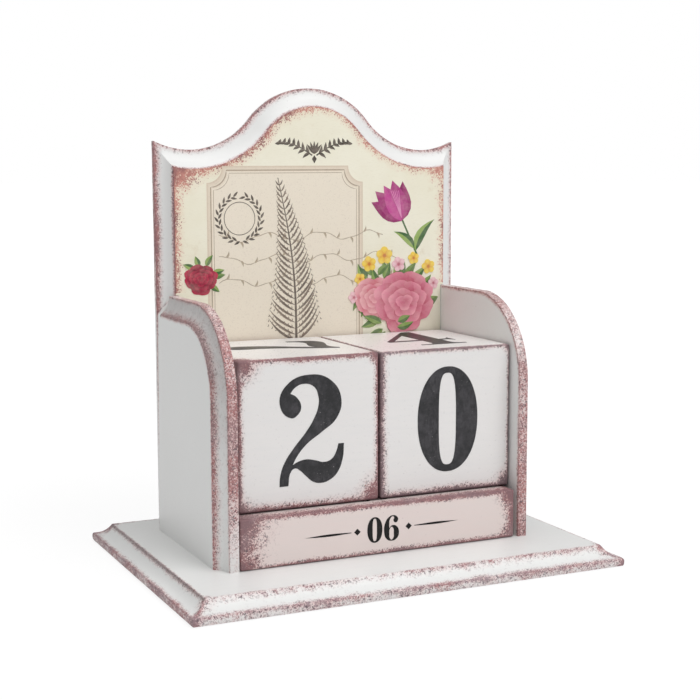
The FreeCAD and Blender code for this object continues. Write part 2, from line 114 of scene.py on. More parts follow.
# ---- shader nodes
class Nodes:
    """The node tree of a material or a world."""

    def __init__(self, owner):
        owner.use_nodes = True
        self.tree = owner.node_tree

    def node(self, kind, inputs=None, **settings):
        made = self.tree.nodes.new(kind)
        for key, value in settings.items():
            setattr(made, key, value)
        self.put(made, inputs or {})
        return made

    def put(self, node, inputs):
        for key, value in inputs.items():
            if isinstance(value, bpy.types.NodeSocket):
                self.tree.links.new(value, node.inputs[key])
            else:
                node.inputs[key].default_value = value


class Shade(Nodes):
    """A material, with short calls for the nodes that it needs."""

    def __init__(self, name):
        self.material = bpy.data.materials.new(name)
        super().__init__(self.material)
        self.surface = self.tree.nodes["Principled BSDF"]
        self.place = self.node("ShaderNodeTexCoord").outputs["Object"]

    def math(self, operation, *values):
        return self.node("ShaderNodeMath", dict(enumerate(values)), operation=operation).outputs[0]

    def attribute(self, name, output="Fac"):
        return self.node("ShaderNodeAttribute", attribute_name=name).outputs[output]

    def stretched(self, *scale):
        """The place in space, scaled by axis, for grain that runs one way."""
        return self.node("ShaderNodeMapping", {"Scale": scale, "Vector": self.place}).outputs[0]

    def noise(self, size_mm, detail=2.0, roughness=0.5, vector=None):
        """Noise with spots about size_mm wide, mostly from 0.3 to 0.7."""
        return self.node("ShaderNodeTexNoise", {
            "Vector": vector or self.place, "Scale": 1.0 / (size_mm * MM), "Detail": detail,
            "Roughness": roughness}).outputs["Fac"]

    def roughened(self, value, *layers):
        """value plus noises, each given as its size in mm, strength, detail, roughness."""
        for size_mm, strength, detail, roughness in layers:
            centred = self.math("SUBTRACT", self.noise(size_mm, detail, roughness), 0.5)
            value = self.math("MULTIPLY_ADD", centred, 3.2 * strength, value)
        return value

    def step(self, value, low, high):
        """0 at low and 1 at high, smooth between them and level past them."""
        return self.node("ShaderNodeMapRange", {"Value": value, "From Min": low, "From Max": high},
                         interpolation_type="SMOOTHSTEP").outputs["Result"]

    def spots(self, size_mm, low, high, detail=2.0, roughness=0.5):
        """1 in the spots where a noise is above high, 0 where it is below low."""
        return self.step(self.noise(size_mm, detail, roughness), low, high)

    def between(self, value, low, high):
        """low where value is 0, high where it is 1."""
        return self.node("ShaderNodeMapRange",
                         {"Value": value, "To Min": low, "To Max": high}).outputs["Result"]

    def mix(self, share, first, second):
        return self.node("ShaderNodeMix", {0: share, 6: first, 7: second}, data_type="RGBA").outputs[2]

    def tinted(self, colour, *tints):
        """colour under tints: each is its colour, its amount, and the shares that scale it. A
        share is a socket, or else what spots takes."""
        for tint, amount, *shares in tints:
            for share in shares:
                if isinstance(share, tuple):
                    share = self.spots(*share)
                amount = self.math("MULTIPLY", share, amount)
            colour = self.mix(amount, colour, tint)
        return colour

    def bump(self, height, distance_mm, strength, under=None):
        inputs = {"Height": height, "Distance": distance_mm * MM, "Strength": strength}
        if under:
            inputs["Normal"] = under
        return self.node("ShaderNodeBump", inputs).outputs[0]

    def finish(self, colour, roughness, **others):
        self.put(self.surface, {"Base Color": colour, "Roughness": roughness} | {
            name.replace("_", " "): value for name, value in others.items()})
        return self.material


# the rubbed edges' undercoats, and the tints that lie on them and on the paint beside them
ROSE, DUSK, PLUM = srgb(158, 110, 111), srgb(146, 104, 106), srgb(132, 112, 116)
HEATHER, BRICK, MAUVE = srgb(156, 130, 136), srgb(182, 120, 118), srgb(112, 92, 98)
BLUSH, FLUSH, ASH = srgb(228, 202, 200), srgb(222, 180, 176), srgb(150, 141, 145)
# SHADOW is painted shade, laid into the groove under the cubes
CHARCOAL, DIRT, SHADOW = srgb(84, 72, 78), srgb(122, 114, 112), srgb(50, 22, 30)


def rubbed_paint(name, paint, tint, blush, brick, gloss=0.36, undercoat=ROSE, feather=0.8,
                 speckle=1.0, greying_and_shade_colour=DIRT, patchy=1.0):
    """Paint over an undercoat. The mesh's "wear" says where it is rubbed: 1 on a worn line,
    0 where the rubbing fades out, and less the further away. Its second attribute, from 0
    to 1, says where the paint darkens to a given colour: grey marks on the boards, and
    painted shade, in SHADOW, in the groove under the cubes, on the cubes and the bars."""
    shade = Shade(name)
    soft = shade.roughened(shade.attribute("wear"), (42.0, 0.38, 1.0, 0.5),
                           (12.0, 0.32 * patchy, 2.0, 0.5), (2.4, 0.32 * patchy, 2.0, 0.5))
    rubbed = shade.roughened(soft, (0.9, 0.85 * speckle, 2.0, 0.7), (0.45, 0.8 * speckle, 1.0, 0.5))
    bare = shade.step(rubbed, 0.16 - feather / 2, 0.16 + feather / 2)
    streak = shade.noise(1.6, vector=shade.stretched(0.12, 1.0, 1.0))
    over = shade.tinted(
        paint, (tint, 0.9, shade.noise(34.0, 3.0)),
        (blended(paint, srgb(0, 0, 0), 0.035), 1.0, shade.step(streak, 0.35, 0.8)),
        (BLUSH, blush, shade.step(soft, -1.5, 0.3)), (FLUSH, 0.75, shade.step(soft, -0.5, 0.9)),
        (MAUVE, 0.35, (0.9, 0.76, 0.84, 1.0)),
        (MAUVE, 0.42, (1.0, 0.56, 0.64, 3.0, 0.7), shade.step(soft, -1.9, -0.4)))
    under = shade.tinted(
        undercoat, (BRICK, brick, (9.0, 0.36, 0.66)), (ASH, 0.4, (13.0, 0.50, 0.66, 3.0)),
        (MAUVE, 0.55, (0.8, 0.46, 0.66)), (BLUSH, 0.45, (0.5, 0.56, 0.74, 1.0)),
        (blended(undercoat, MAUVE, 0.5), 0.75, shade.step(soft, 0.6, 1.4)))
    # the paint darkens where the second attribute says: grey marks on the boards, painted shade in the
    # cubes' groove
    greying_and_shade_blotches = shade.between(shade.noise(5.0, 4.0, 0.7), 0.4, 1.4)
    greying_and_shade_amount = shade.math("MULTIPLY", shade.attribute("greying_and_shade"), greying_and_shade_blotches)
    colour = shade.tinted(
        shade.mix(bare, over, under),
        # dark flecks along the edge of the rubbed paint: specks, and painted shade under the chipped
        # paint's edge
        (CHARCOAL, 0.85, shade.step(soft, -1.0, -0.2), shade.step(soft, 1.1, 0.3),
         (1.1, 0.57, 0.64, 3.0, 0.7)),
        (greying_and_shade_colour, shade.math("MINIMUM", greying_and_shade_amount, 1.0)))
    roller = shade.noise(1.3, 2.0, 0.55)
    uneven = shade.bump(roller, 0.04, 0.3)
    roughness = shade.math("ADD", shade.between(bare, gloss, 0.68), shade.between(roller, -0.04, 0.06))
    return shade.finish(colour, roughness,
                        Normal=shade.bump(shade.math("SUBTRACT", 1.0, bare), 0.05, 0.5, uneven))


def number_ink(name, ink, faded, fading, gloss):
    """Printed black, mottled and flecked where the sandpaper went over it."""
    shade = Shade(name)
    mottle = shade.spots(5.0, 0.38, 0.74, 5.0, 0.7)
    brushed = shade.noise(1.4, 3.0, 0.7, shade.stretched(1.0, 1.0, 0.35))
    colour = shade.tinted(
        ink, (faded, fading, mottle),
        (faded, fading, shade.step(brushed, 0.45, 0.7), (11.0, 0.4, 0.6)),
        (srgb(176, 172, 172), min(1.0, 1.4 * fading), (0.7, 0.64, 0.71, 3.0, 0.7),
         (9.0, 0.42, 0.62)))
    return shade.finish(colour, shade.between(mottle, gloss, gloss + 0.12),
                        Normal=shade.bump(shade.noise(0.9), 0.03, 0.4), Specular_IOR_Level=0.35)


def printed_paper(name):
    """The sheet behind the blocks: cream ground, foxing, and a rubbed terracotta rim."""
    shade = Shade(name)
    fibre = shade.noise(0.5, vector=shade.stretched(0.3, 1.0, 1.0))
    soft = shade.roughened(shade.attribute("wear"), (8.0, 0.35, 2.0, 0.5), (2.0, 0.40, 2.0, 0.5))
    rubbed = shade.roughened(soft, (0.9, 0.9, 2.0, 0.7), (0.45, 0.8, 1.0, 0.5))
    bare = shade.step(rubbed, 0.0, 0.32)
    ground = shade.tinted(
        srgb(247, 243, 225), (srgb(242, 237, 216), 1.0, (26.0, 0.3, 0.7, 3.0, 0.6)),
        (srgb(206, 182, 146), 0.35, (12.0, 0.60, 0.78, 4.0, 0.7)),
        (srgb(228, 220, 198), 0.25, shade.step(fibre, 0.5, 0.8)),
        (srgb(232, 196, 172), 0.35, shade.step(soft, -1.4, 0.4)))
    rim = shade.tinted(
        srgb(206, 144, 132), (srgb(148, 96, 96), 1.0, (9.0, 0.42, 0.68)),
        (srgb(240, 204, 184), 0.5, (0.7, 0.5, 0.7, 1.0)),
        (srgb(120, 84, 80), 0.5, (0.6, 0.6, 0.75, 1.0)),
        (srgb(124, 86, 92), 0.55, shade.step(soft, 1.0, 1.9)))
    return shade.finish(shade.mix(bare, ground, rim), shade.between(bare, 0.55, 0.75),
                        Normal=shade.bump(fibre, 0.02, 0.3), Specular_IOR_Level=0.3)


def print_ink(name):
    """Printed motifs: the mesh's "ink" colour, broken by paper grain and a fine screen."""
    shade = Shade(name)
    cloud = shade.spots(3.2, 0.3, 0.75, 4.0, 0.65)
    grain = shade.spots(0.55, 0.55, 0.75, 2.0, 0.6)
    colour = shade.tinted(shade.attribute("ink", "Color"), (srgb(240, 228, 210), 0.16, cloud),
                          (srgb(130, 100, 92), 0.16, grain))
    return shade.finish(colour, shade.between(cloud, 0.5, 0.6),
                        Normal=shade.bump(grain, 0.015, 0.3), Specular_IOR_Level=0.3)


def zinc(name):
    """Zinc plate, with fine scratches round the head."""
    shade = Shade(name)
    scratch = shade.noise(0.35, 1.0, vector=shade.stretched(1.0, 0.15, 1.0))
    colour = shade.mix(shade.noise(1.2, 3.0, 0.6), srgb(168, 170, 174), srgb(206, 207, 208))
    return shade.finish(colour, shade.between(scratch, 0.28, 0.5),
                        Normal=shade.bump(scratch, 0.02, 0.3), Metallic=1.0)


WHITE, OFF_WHITE = srgb(237, 237, 236), srgb(231, 232, 230)
BOARD_PAINT = rubbed_paint("board_paint", WHITE, OFF_WHITE, 0.7, 0.74)
BASE_PAINT = rubbed_paint("base_paint", WHITE, OFF_WHITE, 0.4, 0.6, undercoat=HEATHER,
                          feather=0.9, patchy=1.45)
# the cubes and the bars darken to SHADOW in the groove under the cubes: painted shade
CUBE_PAINTS = {
    side: rubbed_paint(f"{side}_cube_paint", srgb(238, 236, 235), srgb(234, 231, 229), 0.45,
                       brick, 0.28, undercoat, 0.4, 0.65, SHADOW)
    for side, brick, undercoat in (("left", 0.19, DUSK), ("right", 0.10, PLUM))}
BAR_PAINT = rubbed_paint("bar_paint", srgb(234, 221, 217), srgb(230, 214, 210), 0.45, 0.16,
                         0.36, DUSK, 0.7, 1.0, SHADOW, 1.3)
CUBE_INK = number_ink("cube_ink", srgb(38, 38, 40), srgb(74, 72, 76), 0.75, 0.36)
BAR_INK = number_ink("bar_ink", srgb(8, 6, 7), srgb(22, 18, 20), 0.25, 0.55)
PAPER, PRINT, ZINC = printed_paper("printed_paper"), print_ink("print_ink"), zinc("zinc_plate")


# ---- mesh helpers
def mesh_piece(name, verts, faces, material, body, wear=None, greying_and_shade=None, replaces=None,
               smooth_angle=34.0):
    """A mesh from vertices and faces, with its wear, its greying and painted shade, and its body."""
    mesh = bpy.data.meshes.new(name)
    mesh.from_pydata([tuple(c * MM for c in v) for v in verts], [], faces)
    for label, amount in (("wear", wear), ("greying_and_shade", greying_and_shade)):
        if amount:
            values = mesh.attributes.new(label, "FLOAT", "POINT")
            values.data.foreach_set("value", [amount(Vector(v)) for v in verts])
    work = bmesh.new()
    work.from_mesh(mesh)
    bmesh.ops.recalc_face_normals(work, faces=work.faces)
    for face in work.faces:
        face.smooth = True
    for edge in work.edges:
        edge.smooth = (len(edge.link_faces) == 2 and edge.calc_face_angle(0.0) < radians(smooth_angle))
    work.to_mesh(mesh)
    work.free()
    mesh.materials.append(material)
    piece = linked(name, mesh)
    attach(piece, body)
    if replaces:
        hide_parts(replaces)
    return piece


def linked(name, data):
    made = bpy.data.objects.new(name, data)
    bpy.context.scene.collection.objects.link(made)
    return made


def worn(point, depth, scale, seed):
    """How far hand sanding has taken an edge in at this point."""
    return depth * (0.5 + 0.5 * noise.noise(Vector(point) / scale + seed * Vector((1, 2, 3))))


def fade(distance, width, peak=1.0, floor=-4.0):
    """Wear beside a worn line: peak on it, and 1 less for each width away, down to floor."""
    return max(floor, peak - distance / width)


def along(length, count, near):
    """Distances along a side: those in near from both its ends, with count steps between."""
    inner = [near[-1] + (length - 2 * near[-1]) * i / count for i in range(1, count)]
    return list(near) + inner + [length - d for d in reversed(near)]


def polar(centre, radius, turn):
    return centre[0] + radius * cos(turn), centre[1] + radius * sin(turn)


def circle(centre, radius, count, start=0.0):
    return [polar(centre, radius, start + tau * i / count) for i in range(count)]


def loft(rings, closed=True):
    """Vertices and faces of a skin over rings of equally many points, with its end capped."""
    count, last, faces = len(rings[0]), len(rings[0]) * (len(rings) - 1), []
    for start in range(0, last, count):
        for i in range(count if closed else count - 1):
            j = (i + 1) % count
            faces.append((start + i, start + j, start + count + j, start + count + i))
    faces.append(tuple(range(last, last + count)))
    return [point for ring in rings for point in ring], faces


def open_loft(rings):
    """A loft over rings with open ends, and the vertex numbers along its left and right."""
    verts, faces = loft(rings, closed=False)
    count, total = len(rings[0]), len(verts)
    return verts, faces, range(0, total, count), range(count - 1, total, count)


# ---- blocks
def rounded_block(node, name, radius, sanding, seed, body, material, slot, *wear):
    """A CAD block again, with rounded edges that hand sanding has left a little uneven. wear
    is what block_wear takes after the block's corners."""
    low, high = extent(node)
    turn = [radius * (1.0 - tan(radians(a))) for a in (45, 30, 15, 0)]
    near = turn + [radius + d for d in (0.5, 1.0, 1.6, 2.4, 3.4, 4.6, 6.0)]
    lines = [[a + d for d in along(b - a, max(1, round((b - a - 2 * near[-1]) / 5.0)), near)]
             for a, b in zip(low, high)]
    ends = [len(line) - 1 for line in lines]
    verts, numbers, faces = [], {}, []

    def vertex(axis, *spot):
        key = tuple(spot[(i - axis) % 3] for i in range(3))
        if key not in numbers:
            point = Vector([line[i] for line, i in zip(lines, key)])
            core = Vector([min(max(c, a + radius), b - radius) for c, a, b in zip(point, low, high)])
            out = (point - core).normalized()
            point = core + out * radius
            gaps = sorted(min(c - a, b - c) for c, a, b in zip(point, low, high))
            near_edge = exp(-gaps[1] / 1.3) + 0.8 * exp(-gaps[2] / 2.0)
            point -= out * worn(point, sanding * min(1.5, near_edge), 5.0, seed)
            numbers[key] = len(verts)
            verts.append(tuple(point))
        return numbers[key]

    for axis in range(3):
        across, up = ends[(axis + 1) % 3], ends[(axis + 2) % 3]
        for side, i, j in product((0, ends[axis]), range(across), range(up)):
            faces.append([vertex(axis, side, i + di, j + dj)
                          for di, dj in ((0, 0), (1, 0), (1, 1), (0, 1))])
    # painted shade goes into the groove under the cubes
    mesh_piece(name, verts, faces, material, body, block_wear(low, high, *wear),
               groove_shade, node, 60.0)


def block_wear(low, high, widths, default, reaches):
    """Wear along a block's edges. widths gives, for a face such as "-y", how wide it is
    beside the low and high edges of that face's other two axes, in axis order. reaches is
    how far it reaches in from the front corners: low left, low right, top left, top right."""
    corners = [Vector((x, low.y, z)) for z in (low.z, high.z) for x in (low.x, high.x)]

    def wear(point):
        gap = {}
        for axis, c, a, b in zip("xyz", point, low, high):
            gap["-" + axis], gap["+" + axis] = max(0.0, c - a), max(0.0, b - c)
        face = min(gap, key=gap.get)
        others = [axis for axis in "xyz" if axis != face[1]]
        wide = widths.get(face, (default,) * 4)
        edges = [side + axis for axis in others for side in "-+"]
        corner = sum(min(gap["-" + axis], gap["+" + axis]) for axis in others)
        return max(fade(corner, 0.54 * sum(wide), 1.3),
                   *[fade(gap[edge], width, 1.2) for edge, width in zip(edges, wide)],
                   *[fade((point - place).length, 0.6 * reach, 1.9)
                     for place, reach in zip(corners, reaches) if reach])

    return wear


def groove_shade(point):
    """Painted shade in the groove along the cubes' front, where they stand on the bars: on the cubes'
    feet and on the bars' tops under them.
    """
    if not CUBE_FRONT - 0.3 < point.y < CUBE_FRONT + 2.0:
        return 0.0
    return fade(abs(point.z - CUBE_FOOT + 0.1), 0.9, 1.5, 0.0)


# each face's right and up, as seen from outside
X, Y, Z = Vector((1, 0, 0)), Vector((0, 1, 0)), Vector((0, 0, 1))
FACES = {"front": (X, Z), "back": (-X, Z), "top": (X, Y), "bottom": (X, -Y), "left": (-Y, Z),
         "right": (Y, Z)}


# ---- numerals
def oval(centre_x, centre_y, half_x, half_y, square, count=24):
    """A closed oval. square is 2 for an ellipse, and more for squarer shoulders."""
    return [(centre_x + half_x * copysign(abs(x) ** (2.0 / square), x),
             centre_y + half_y * copysign(abs(y) ** (2.0 / square), y))
            for x, y in circle((0.0, 0.0), 1.0, count)]


# Each outline is a list of (x, y) on a smooth line; a third value marks a sharp corner.
C = "corner"
NUMERAL_WIDTH, NUMERAL_HEIGHT, NUMERAL_PITCH = 27.8, 43.5, 31.0
NUMERALS = {
    "0": [oval(13.9, 21.75, 13.9, 21.75, 2.15), oval(13.7, 21.9, 4.0, 19.0, 3.1)],
    "1": [[(3.5, 0, C), (25.5, 0, C), (25.5, 1.7, C), (21, 3), (19.5, 6.4, C), (19.5, 43.5, C),
           (16.4, 43.5, C), (11.6, 39.4), (3.5, 37.4, C), (3.5, 35.5, C), (8.8, 35.9),
           (10.5, 33.6, C), (10.5, 6.4, C), (9, 3), (3.5, 1.7, C)]],
    "2": [[(5.1, 26.8), (0.4, 32.5), (3.1, 39.7), (13.1, 43.5), (22.6, 40.4), (26.7, 32.5),
           (24.5, 25.4), (18.1, 20.4), (11.7, 16.1), (7.5, 11.5), (5.6, 8.2, C), (7.4, 9.1),
           (11.3, 10), (15.3, 9.3), (19.2, 8.3), (22.4, 9.3), (24.2, 11.8), (25.3, 15.2, C),
           (27.7, 15.2, C), (27.1, 8.9), (24.5, 3.2), (21, 0.7), (18.1, 0), (14.5, 0.7),
           (11, 3.6), (8.8, 5.7), (6.7, 6.8), (5, 5.8), (3.7, 0, C), (0, 0, C), (0.3, 4),
           (2, 9), (6, 14.7), (11, 20.4), (14.5, 25.4), (16.8, 31.1), (16.7, 35),
           (14.9, 38.6), (10.3, 40), (6.7, 38.6), (4.9, 36.5, C), (7.4, 35), (9.4, 31),
           (8, 28)]],
    "3": [[(5.8, 29.2), (1.6, 33.6), (4.5, 40), (13.2, 43.5), (22, 40.6), (25.6, 33.4),
           (23, 26.6), (17, 22.9, C), (24.2, 19.4), (27.8, 12), (24, 3.4), (13.5, 0),
           (3.6, 3.6), (0.4, 9.8), (4.9, 14.6), (9.2, 10.4), (7.6, 6.4), (8, 3.6), (12.4, 1.9),
           (17, 4.6), (18.6, 11.8), (16.4, 19), (9.8, 22, C), (9.8, 23.9, C), (15.2, 26.2),
           (17.2, 33.2), (16, 39.6), (12.2, 41.6), (9, 40.2), (8.7, 37.6), (10, 33.4)]],
    "4": [[(8.4, 0, C), (29.4, 0, C), (29.4, 1.4, C), (25.6, 2.4), (24.4, 4.8, C),
           (24.4, 13.4, C), (28.4, 12.9), (29.9, 10.8, C), (29.9, 19.4, C), (28.4, 16.4),
           (24.4, 15.9, C), (24.4, 43.5, C), (20.4, 43.5, C), (0, 15.9, C), (0, 13.4, C),
           (15.4, 13.4, C), (15.4, 4.8, C), (14.2, 2.4), (8.4, 1.4, C)],
          [(15.4, 15.9, C), (3.4, 15.9, C), (15.4, 32.6, C)]],
    "5": [[(3.6, 43.5, C), (9.5, 42.3), (16, 42.1), (24.2, 43.8, C), (22.4, 38), (16.5, 35),
           (10, 35.4), (5.4, 36.8, C), (5.2, 24.4, C), (8.2, 26.7), (14.2, 27.8), (23.2, 24.4),
           (27.4, 14.4), (23.6, 3.8), (13, 0), (3.8, 3.4), (0.6, 9.4), (5, 14.2), (9.2, 10),
           (7.6, 6.4), (8, 3.5), (12.4, 1.9), (16.8, 4.8), (18.2, 14), (16.4, 22.8),
           (12, 25.4), (7.4, 23.6), (5.3, 21, C), (3.6, 21, C)]],
    "6": [[(13.9, 0), (4.2, 4.4), (0, 18), (1.8, 31), (7.8, 40), (16.6, 43.5), (24, 40.6),
           (26.2, 35), (21.8, 30.6), (17.4, 34.8), (18.8, 38.6), (17.8, 41), (15.4, 41.6),
           (11, 37), (9.6, 27), (9.8, 22, C), (12, 24.6), (16.4, 26.6), (24.4, 23.2),
           (27.8, 13.4), (24, 3.6)],
          [(13.9, 1.9), (10.6, 5), (9.7, 13), (10.8, 21), (14, 23.9), (17.4, 20.8),
           (18.2, 13), (17.2, 4.8)]],
    "7": [[(0, 30, C), (1.9, 30, C), (3.6, 34), (7.4, 35.8), (13.2, 34.4), (18.4, 33.6),
           (22.4, 35.2, C), (17.4, 27), (11.2, 17.4), (8, 8.4), (7.6, 3.2), (10.6, 0),
           (14.8, 0.4), (16.8, 3.8), (17.2, 12), (20.2, 22.6), (25.4, 33.6), (27.8, 42.6, C),
           (26.2, 43.2, C), (23.8, 41.4), (19.6, 40.8), (13.2, 42.6), (7.4, 43.5),
           (2.8, 41.4), (1.2, 36.5)]],
    "8": [[(14, 43.5), (22.6, 41), (25.6, 34), (23.8, 28), (19.6, 23.9), (25.6, 19.4),
           (28, 11.6), (24, 3), (13.8, 0), (3.6, 3), (0, 10.6), (2.2, 17.8), (8, 22.4),
           (3.4, 27), (1.8, 33.4), (5.4, 41)],
          [(14.2, 41.7), (10, 39.4), (9.2, 34.6), (12.4, 29.8), (17, 26.4), (19, 33.4),
           (18, 39.6)],
          [(13.8, 1.9), (8, 5), (6.6, 11.4), (9.8, 19.2), (15.6, 16), (20, 10.2), (19.2, 4.6)]],
}
NUMERALS["9"] = [[(NUMERAL_WIDTH - x, NUMERAL_HEIGHT - y, *corner) for x, y, *corner in loop]
                 for loop in NUMERALS["6"]]


def number(text, height, turn=0.0):
    """Outlines of the digits side by side, about their common centre."""
    scale, spin, loops = height / NUMERAL_HEIGHT, Matrix.Rotation(turn, 2), []
    for place, digit in enumerate(text):
        middle = NUMERAL_WIDTH / 2 - (place - (len(text) - 1) / 2) * NUMERAL_PITCH
        for loop in NUMERALS[digit]:
            loops.append([(*(spin @ Vector((x - middle, y - NUMERAL_HEIGHT / 2)) * scale),
                           *corner) for x, y, *corner in loop])
    return loops


def stamped(name, loops, node, where, shift, proud, material, body):
    """Closed outlines printed on a block's face, moved right and up from its centre."""
    curve = bpy.data.curves.new(name, "CURVE")
    curve.dimensions, curve.fill_mode, curve.extrude, curve.resolution_u = "2D", "BOTH", 1.0, 6
    for loop in loops:
        spline = curve.splines.new("BEZIER")
        spline.bezier_points.add(len(loop) - 1)
        spline.use_cyclic_u = True
        for point, (x, y, *corner) in zip(spline.bezier_points, loop):
            point.co = (x, y, 0.0)
            point.handle_left_type = point.handle_right_type = "VECTOR" if corner else "AUTO"
    holder = linked(name, curve)
    bpy.context.view_layer.update()
    flat = bpy.data.meshes.new_from_object(holder)
    work = bmesh.new()
    work.from_mesh(flat)
    bmesh.ops.remove_doubles(work, verts=work.verts, dist=0.0002)
    right, up = FACES[where]
    out = right.cross(up)
    centre = Vector([(a + b + side * (b - a)) / 2 for a, b, side in zip(*extent(node), out)])
    origin = centre + right * shift[0] + up * shift[1]
    verts = [origin + right * v.co.x + up * v.co.y + out * proud * v.co.z for v in work.verts]
    faces = [tuple(v.index for v in f.verts) for f in work.faces]
    work.free()
    bpy.data.batch_remove([holder, curve, flat])
    mesh_piece(name, verts, faces, material, body, smooth_angle=30.0)


# ---- cubes
# each cube's digits, in the order of FACES
CUBE_DIGITS = {"left": "287160", "right": "054312"}
CUBE_TURNS = {("left", "top"): -pi / 2, ("left", "left"): pi / 2,
              ("right", "right"): pi / 2, ("right", "bottom"): pi}
CUBE_SHIFTS = {("left", "front"): (0.7, 1.2), ("right", "front"): (0.6, 0.6),
               ("left", "top"): (1.2, 3.8), ("right", "top"): (0.7, 3.7)}
CUBE_WIDTHS = {
    "left": {"-y": (1.15, 1.2, 1.8, 1.2), "+z": (0.6, 0.7, 1.0, 0.5), "+x": (8.0, 1.1, 2.0, 1.1)},
    "right": {"-y": (1.6, 0.85, 1.6, 0.95), "+z": (0.6, 0.5, 0.95, 0.5),
              "-x": (8.0, 1.1, 2.0, 1.1)},
}
CUBE_REACHES = {"left": (4.4, 7.6, 6.4, 3.6), "right": (3.4, 5.2, 0.0, 2.8)}


def digit_cube(side, seed):
    """A cube with a digit on each face."""
    node, body = f"{side}_digit_cube", f"{side}_cube"
    rounded_block(node, f"{side}_cube_wood", 0.9, 0.28, seed, body, CUBE_PAINTS[side],
                  "painted_cube", CUBE_WIDTHS[side], 1.1, CUBE_REACHES[side])
    for digit, where in zip(CUBE_DIGITS[side], FACES):
        outline = number(digit, NUMERAL_HEIGHT, CUBE_TURNS.get((side, where), 0.0))
        stamped(f"{body}_{where}_{digit}", outline, node, where,
                CUBE_SHIFTS.get((side, where), (0.0, 0.0)), 0.10, CUBE_INK, body)


digit_cube("left", 1.0)
digit_cube("right", 2.0)


# ---- month bars
BAR_WIDTHS = {"-y": (4.4, 2.0, 1.0, 0.85), "+z": (2.6, 1.8, 3.6, 1.4)}
BAR_REACHES = (8.0, 0.0, 9.0, 5.0)
# from its far end to its diamond, a rule that swells in the middle
RULE = [[(34.0, 0, C), (24.0, 0.45), (14.0, 0.12, C), (14.0, -0.12, C), (24.0, -0.45)],
        [(12.8, 0, C), (11.4, 1.4, C), (10.0, 0, C), (11.4, -1.4, C)]]


def month_bar(bar, seed, first):
    """A bar with four months, each a number between two rules on one of its long faces."""
    node, body = f"month_bar_{bar}", f"{bar}_bar"
    rounded_block(node, f"{bar}_bar_wood", 0.6, 0.2, seed, body, BAR_PAINT, "painted_bar",
                  BAR_WIDTHS, 1.3, BAR_REACHES)
    rules = [[(side * x, y, *corner) for x, y, *corner in loop] for side in (-1, 1) for loop in RULE]
    for where, later in (("front", 1), ("top", 0), ("back", 3), ("bottom", 2)):
        month = f"{first + later:02d}"
        stamped(f"{body}_{where}_{month}", number(month, 10.4) + rules, node, where,
                (0.0, 2.8 if where == "top" else 0.0), 0.05, BAR_INK, body)


month_bar("front", 5.0, 5)
month_bar("middle", 6.0, 1)
month_bar("rear", 7.0, 9)


# ---- coves
def cove_rise(inset, width, depth):
    """How far a cove has risen at this inset: level at its outer edge, steep at its inner."""
    radius = (width ** 2 + depth ** 2) / (2 * depth)
    return radius - sqrt(max(0.0, radius ** 2 - inset ** 2))


def cove_inset(rise, width, depth):
    """The inset at which a cove has risen this far."""
    radius = (width ** 2 + depth ** 2) / (2 * depth)
    return sqrt(max(0.0, radius ** 2 - (radius - rise) ** 2))


# ---- base board
def base_ring(inset, z, sanding):
    """The board's outline at this inset, with its sides sanded in, and its corners more."""
    points = []
    x, y = BASE_X - inset, BASE_Y - inset
    corners = [Vector(c) for c in ((-x, -y), (x, -y), (x, y), (-x, y))]
    for side, start in enumerate(corners):
        way = corners[(side + 1) % 4] - start
        length = way.length
        way.normalize()
        for d in along(length, 22 if side % 2 else 32, (0.0, 0.8, 1.6, 2.6, 4.0, 6.0, 9.0))[:-1]:
            at = start + way * d
            take = worn((at.x, at.y, z), sanding, 6.0, 9.0)
            at += Vector((-way.y, way.x)) * take
            at -= at.normalized() * 0.9 * sanding * exp(-min(d, length - d) / 1.2)
            points.append((at.x, at.y, z - 0.4 * take))
    return points


def base_wear(point):
    """The lines at the cove's two edges, the corners, and the mitres between the coves."""
    dx, dy = BASE_X - abs(point.x), BASE_Y - abs(point.y)
    inset, front = min(dx, dy), dy < dx
    if point.z < 0.1:
        return fade(inset, 1.2)
    high, low = abs(inset - BASE_COVE), hypot(inset, point.z - BASE_LIP)
    value = max(fade(high, 1.5, 0.05) if front else fade(high, 0.8, 0.35),
                fade(low, 1.7, 0.7) if front else fade(low, 1.1, 0.95),
                fade(hypot(inset, point.z), 1.2, 0.2), fade(hypot(dx, dy), 3.2, 1.2),
                fade(hypot(dx - BASE_COVE, dy - BASE_COVE), 2.2, 1.0))
    if inset < BASE_COVE:
        value = max(value, fade(abs(dx - dy) / sqrt(2), 1.6, 0.8))
    if inset < 0.4 and point.z < BASE_LIP:
        value = max(value, 0.35 if point.x < 0.0 and not front else -0.15)
    return value


def base_grime(point):
    """The left side's lines have greyed."""
    inset = BASE_X + point.x
    if inset > BASE_Y - abs(point.y):
        return 0.0
    return max(fade(abs(inset - BASE_COVE), 0.6, 0.9, 0.0),
               fade(hypot(inset, point.z - BASE_LIP), 1.0, 0.45, 0.0))


def pierced(verts, loops):
    """Faces in one plane inside the first loop of vertex numbers and outside the others."""
    work = bmesh.new()
    made = {i: work.verts.new(verts[i]) for loop in loops for i in loop}
    numbers = {vertex: i for i, vertex in made.items()}
    edges = [work.edges.new((made[a], made[b]))
             for loop in loops for a, b in zip(loop, loop[1:] + loop[:1])]
    bmesh.ops.triangle_fill(work, use_beauty=True, use_dissolve=False, edges=edges)
    faces = [tuple(numbers[vertex] for vertex in face.verts) for face in work.faces]
    work.free()
    return faces


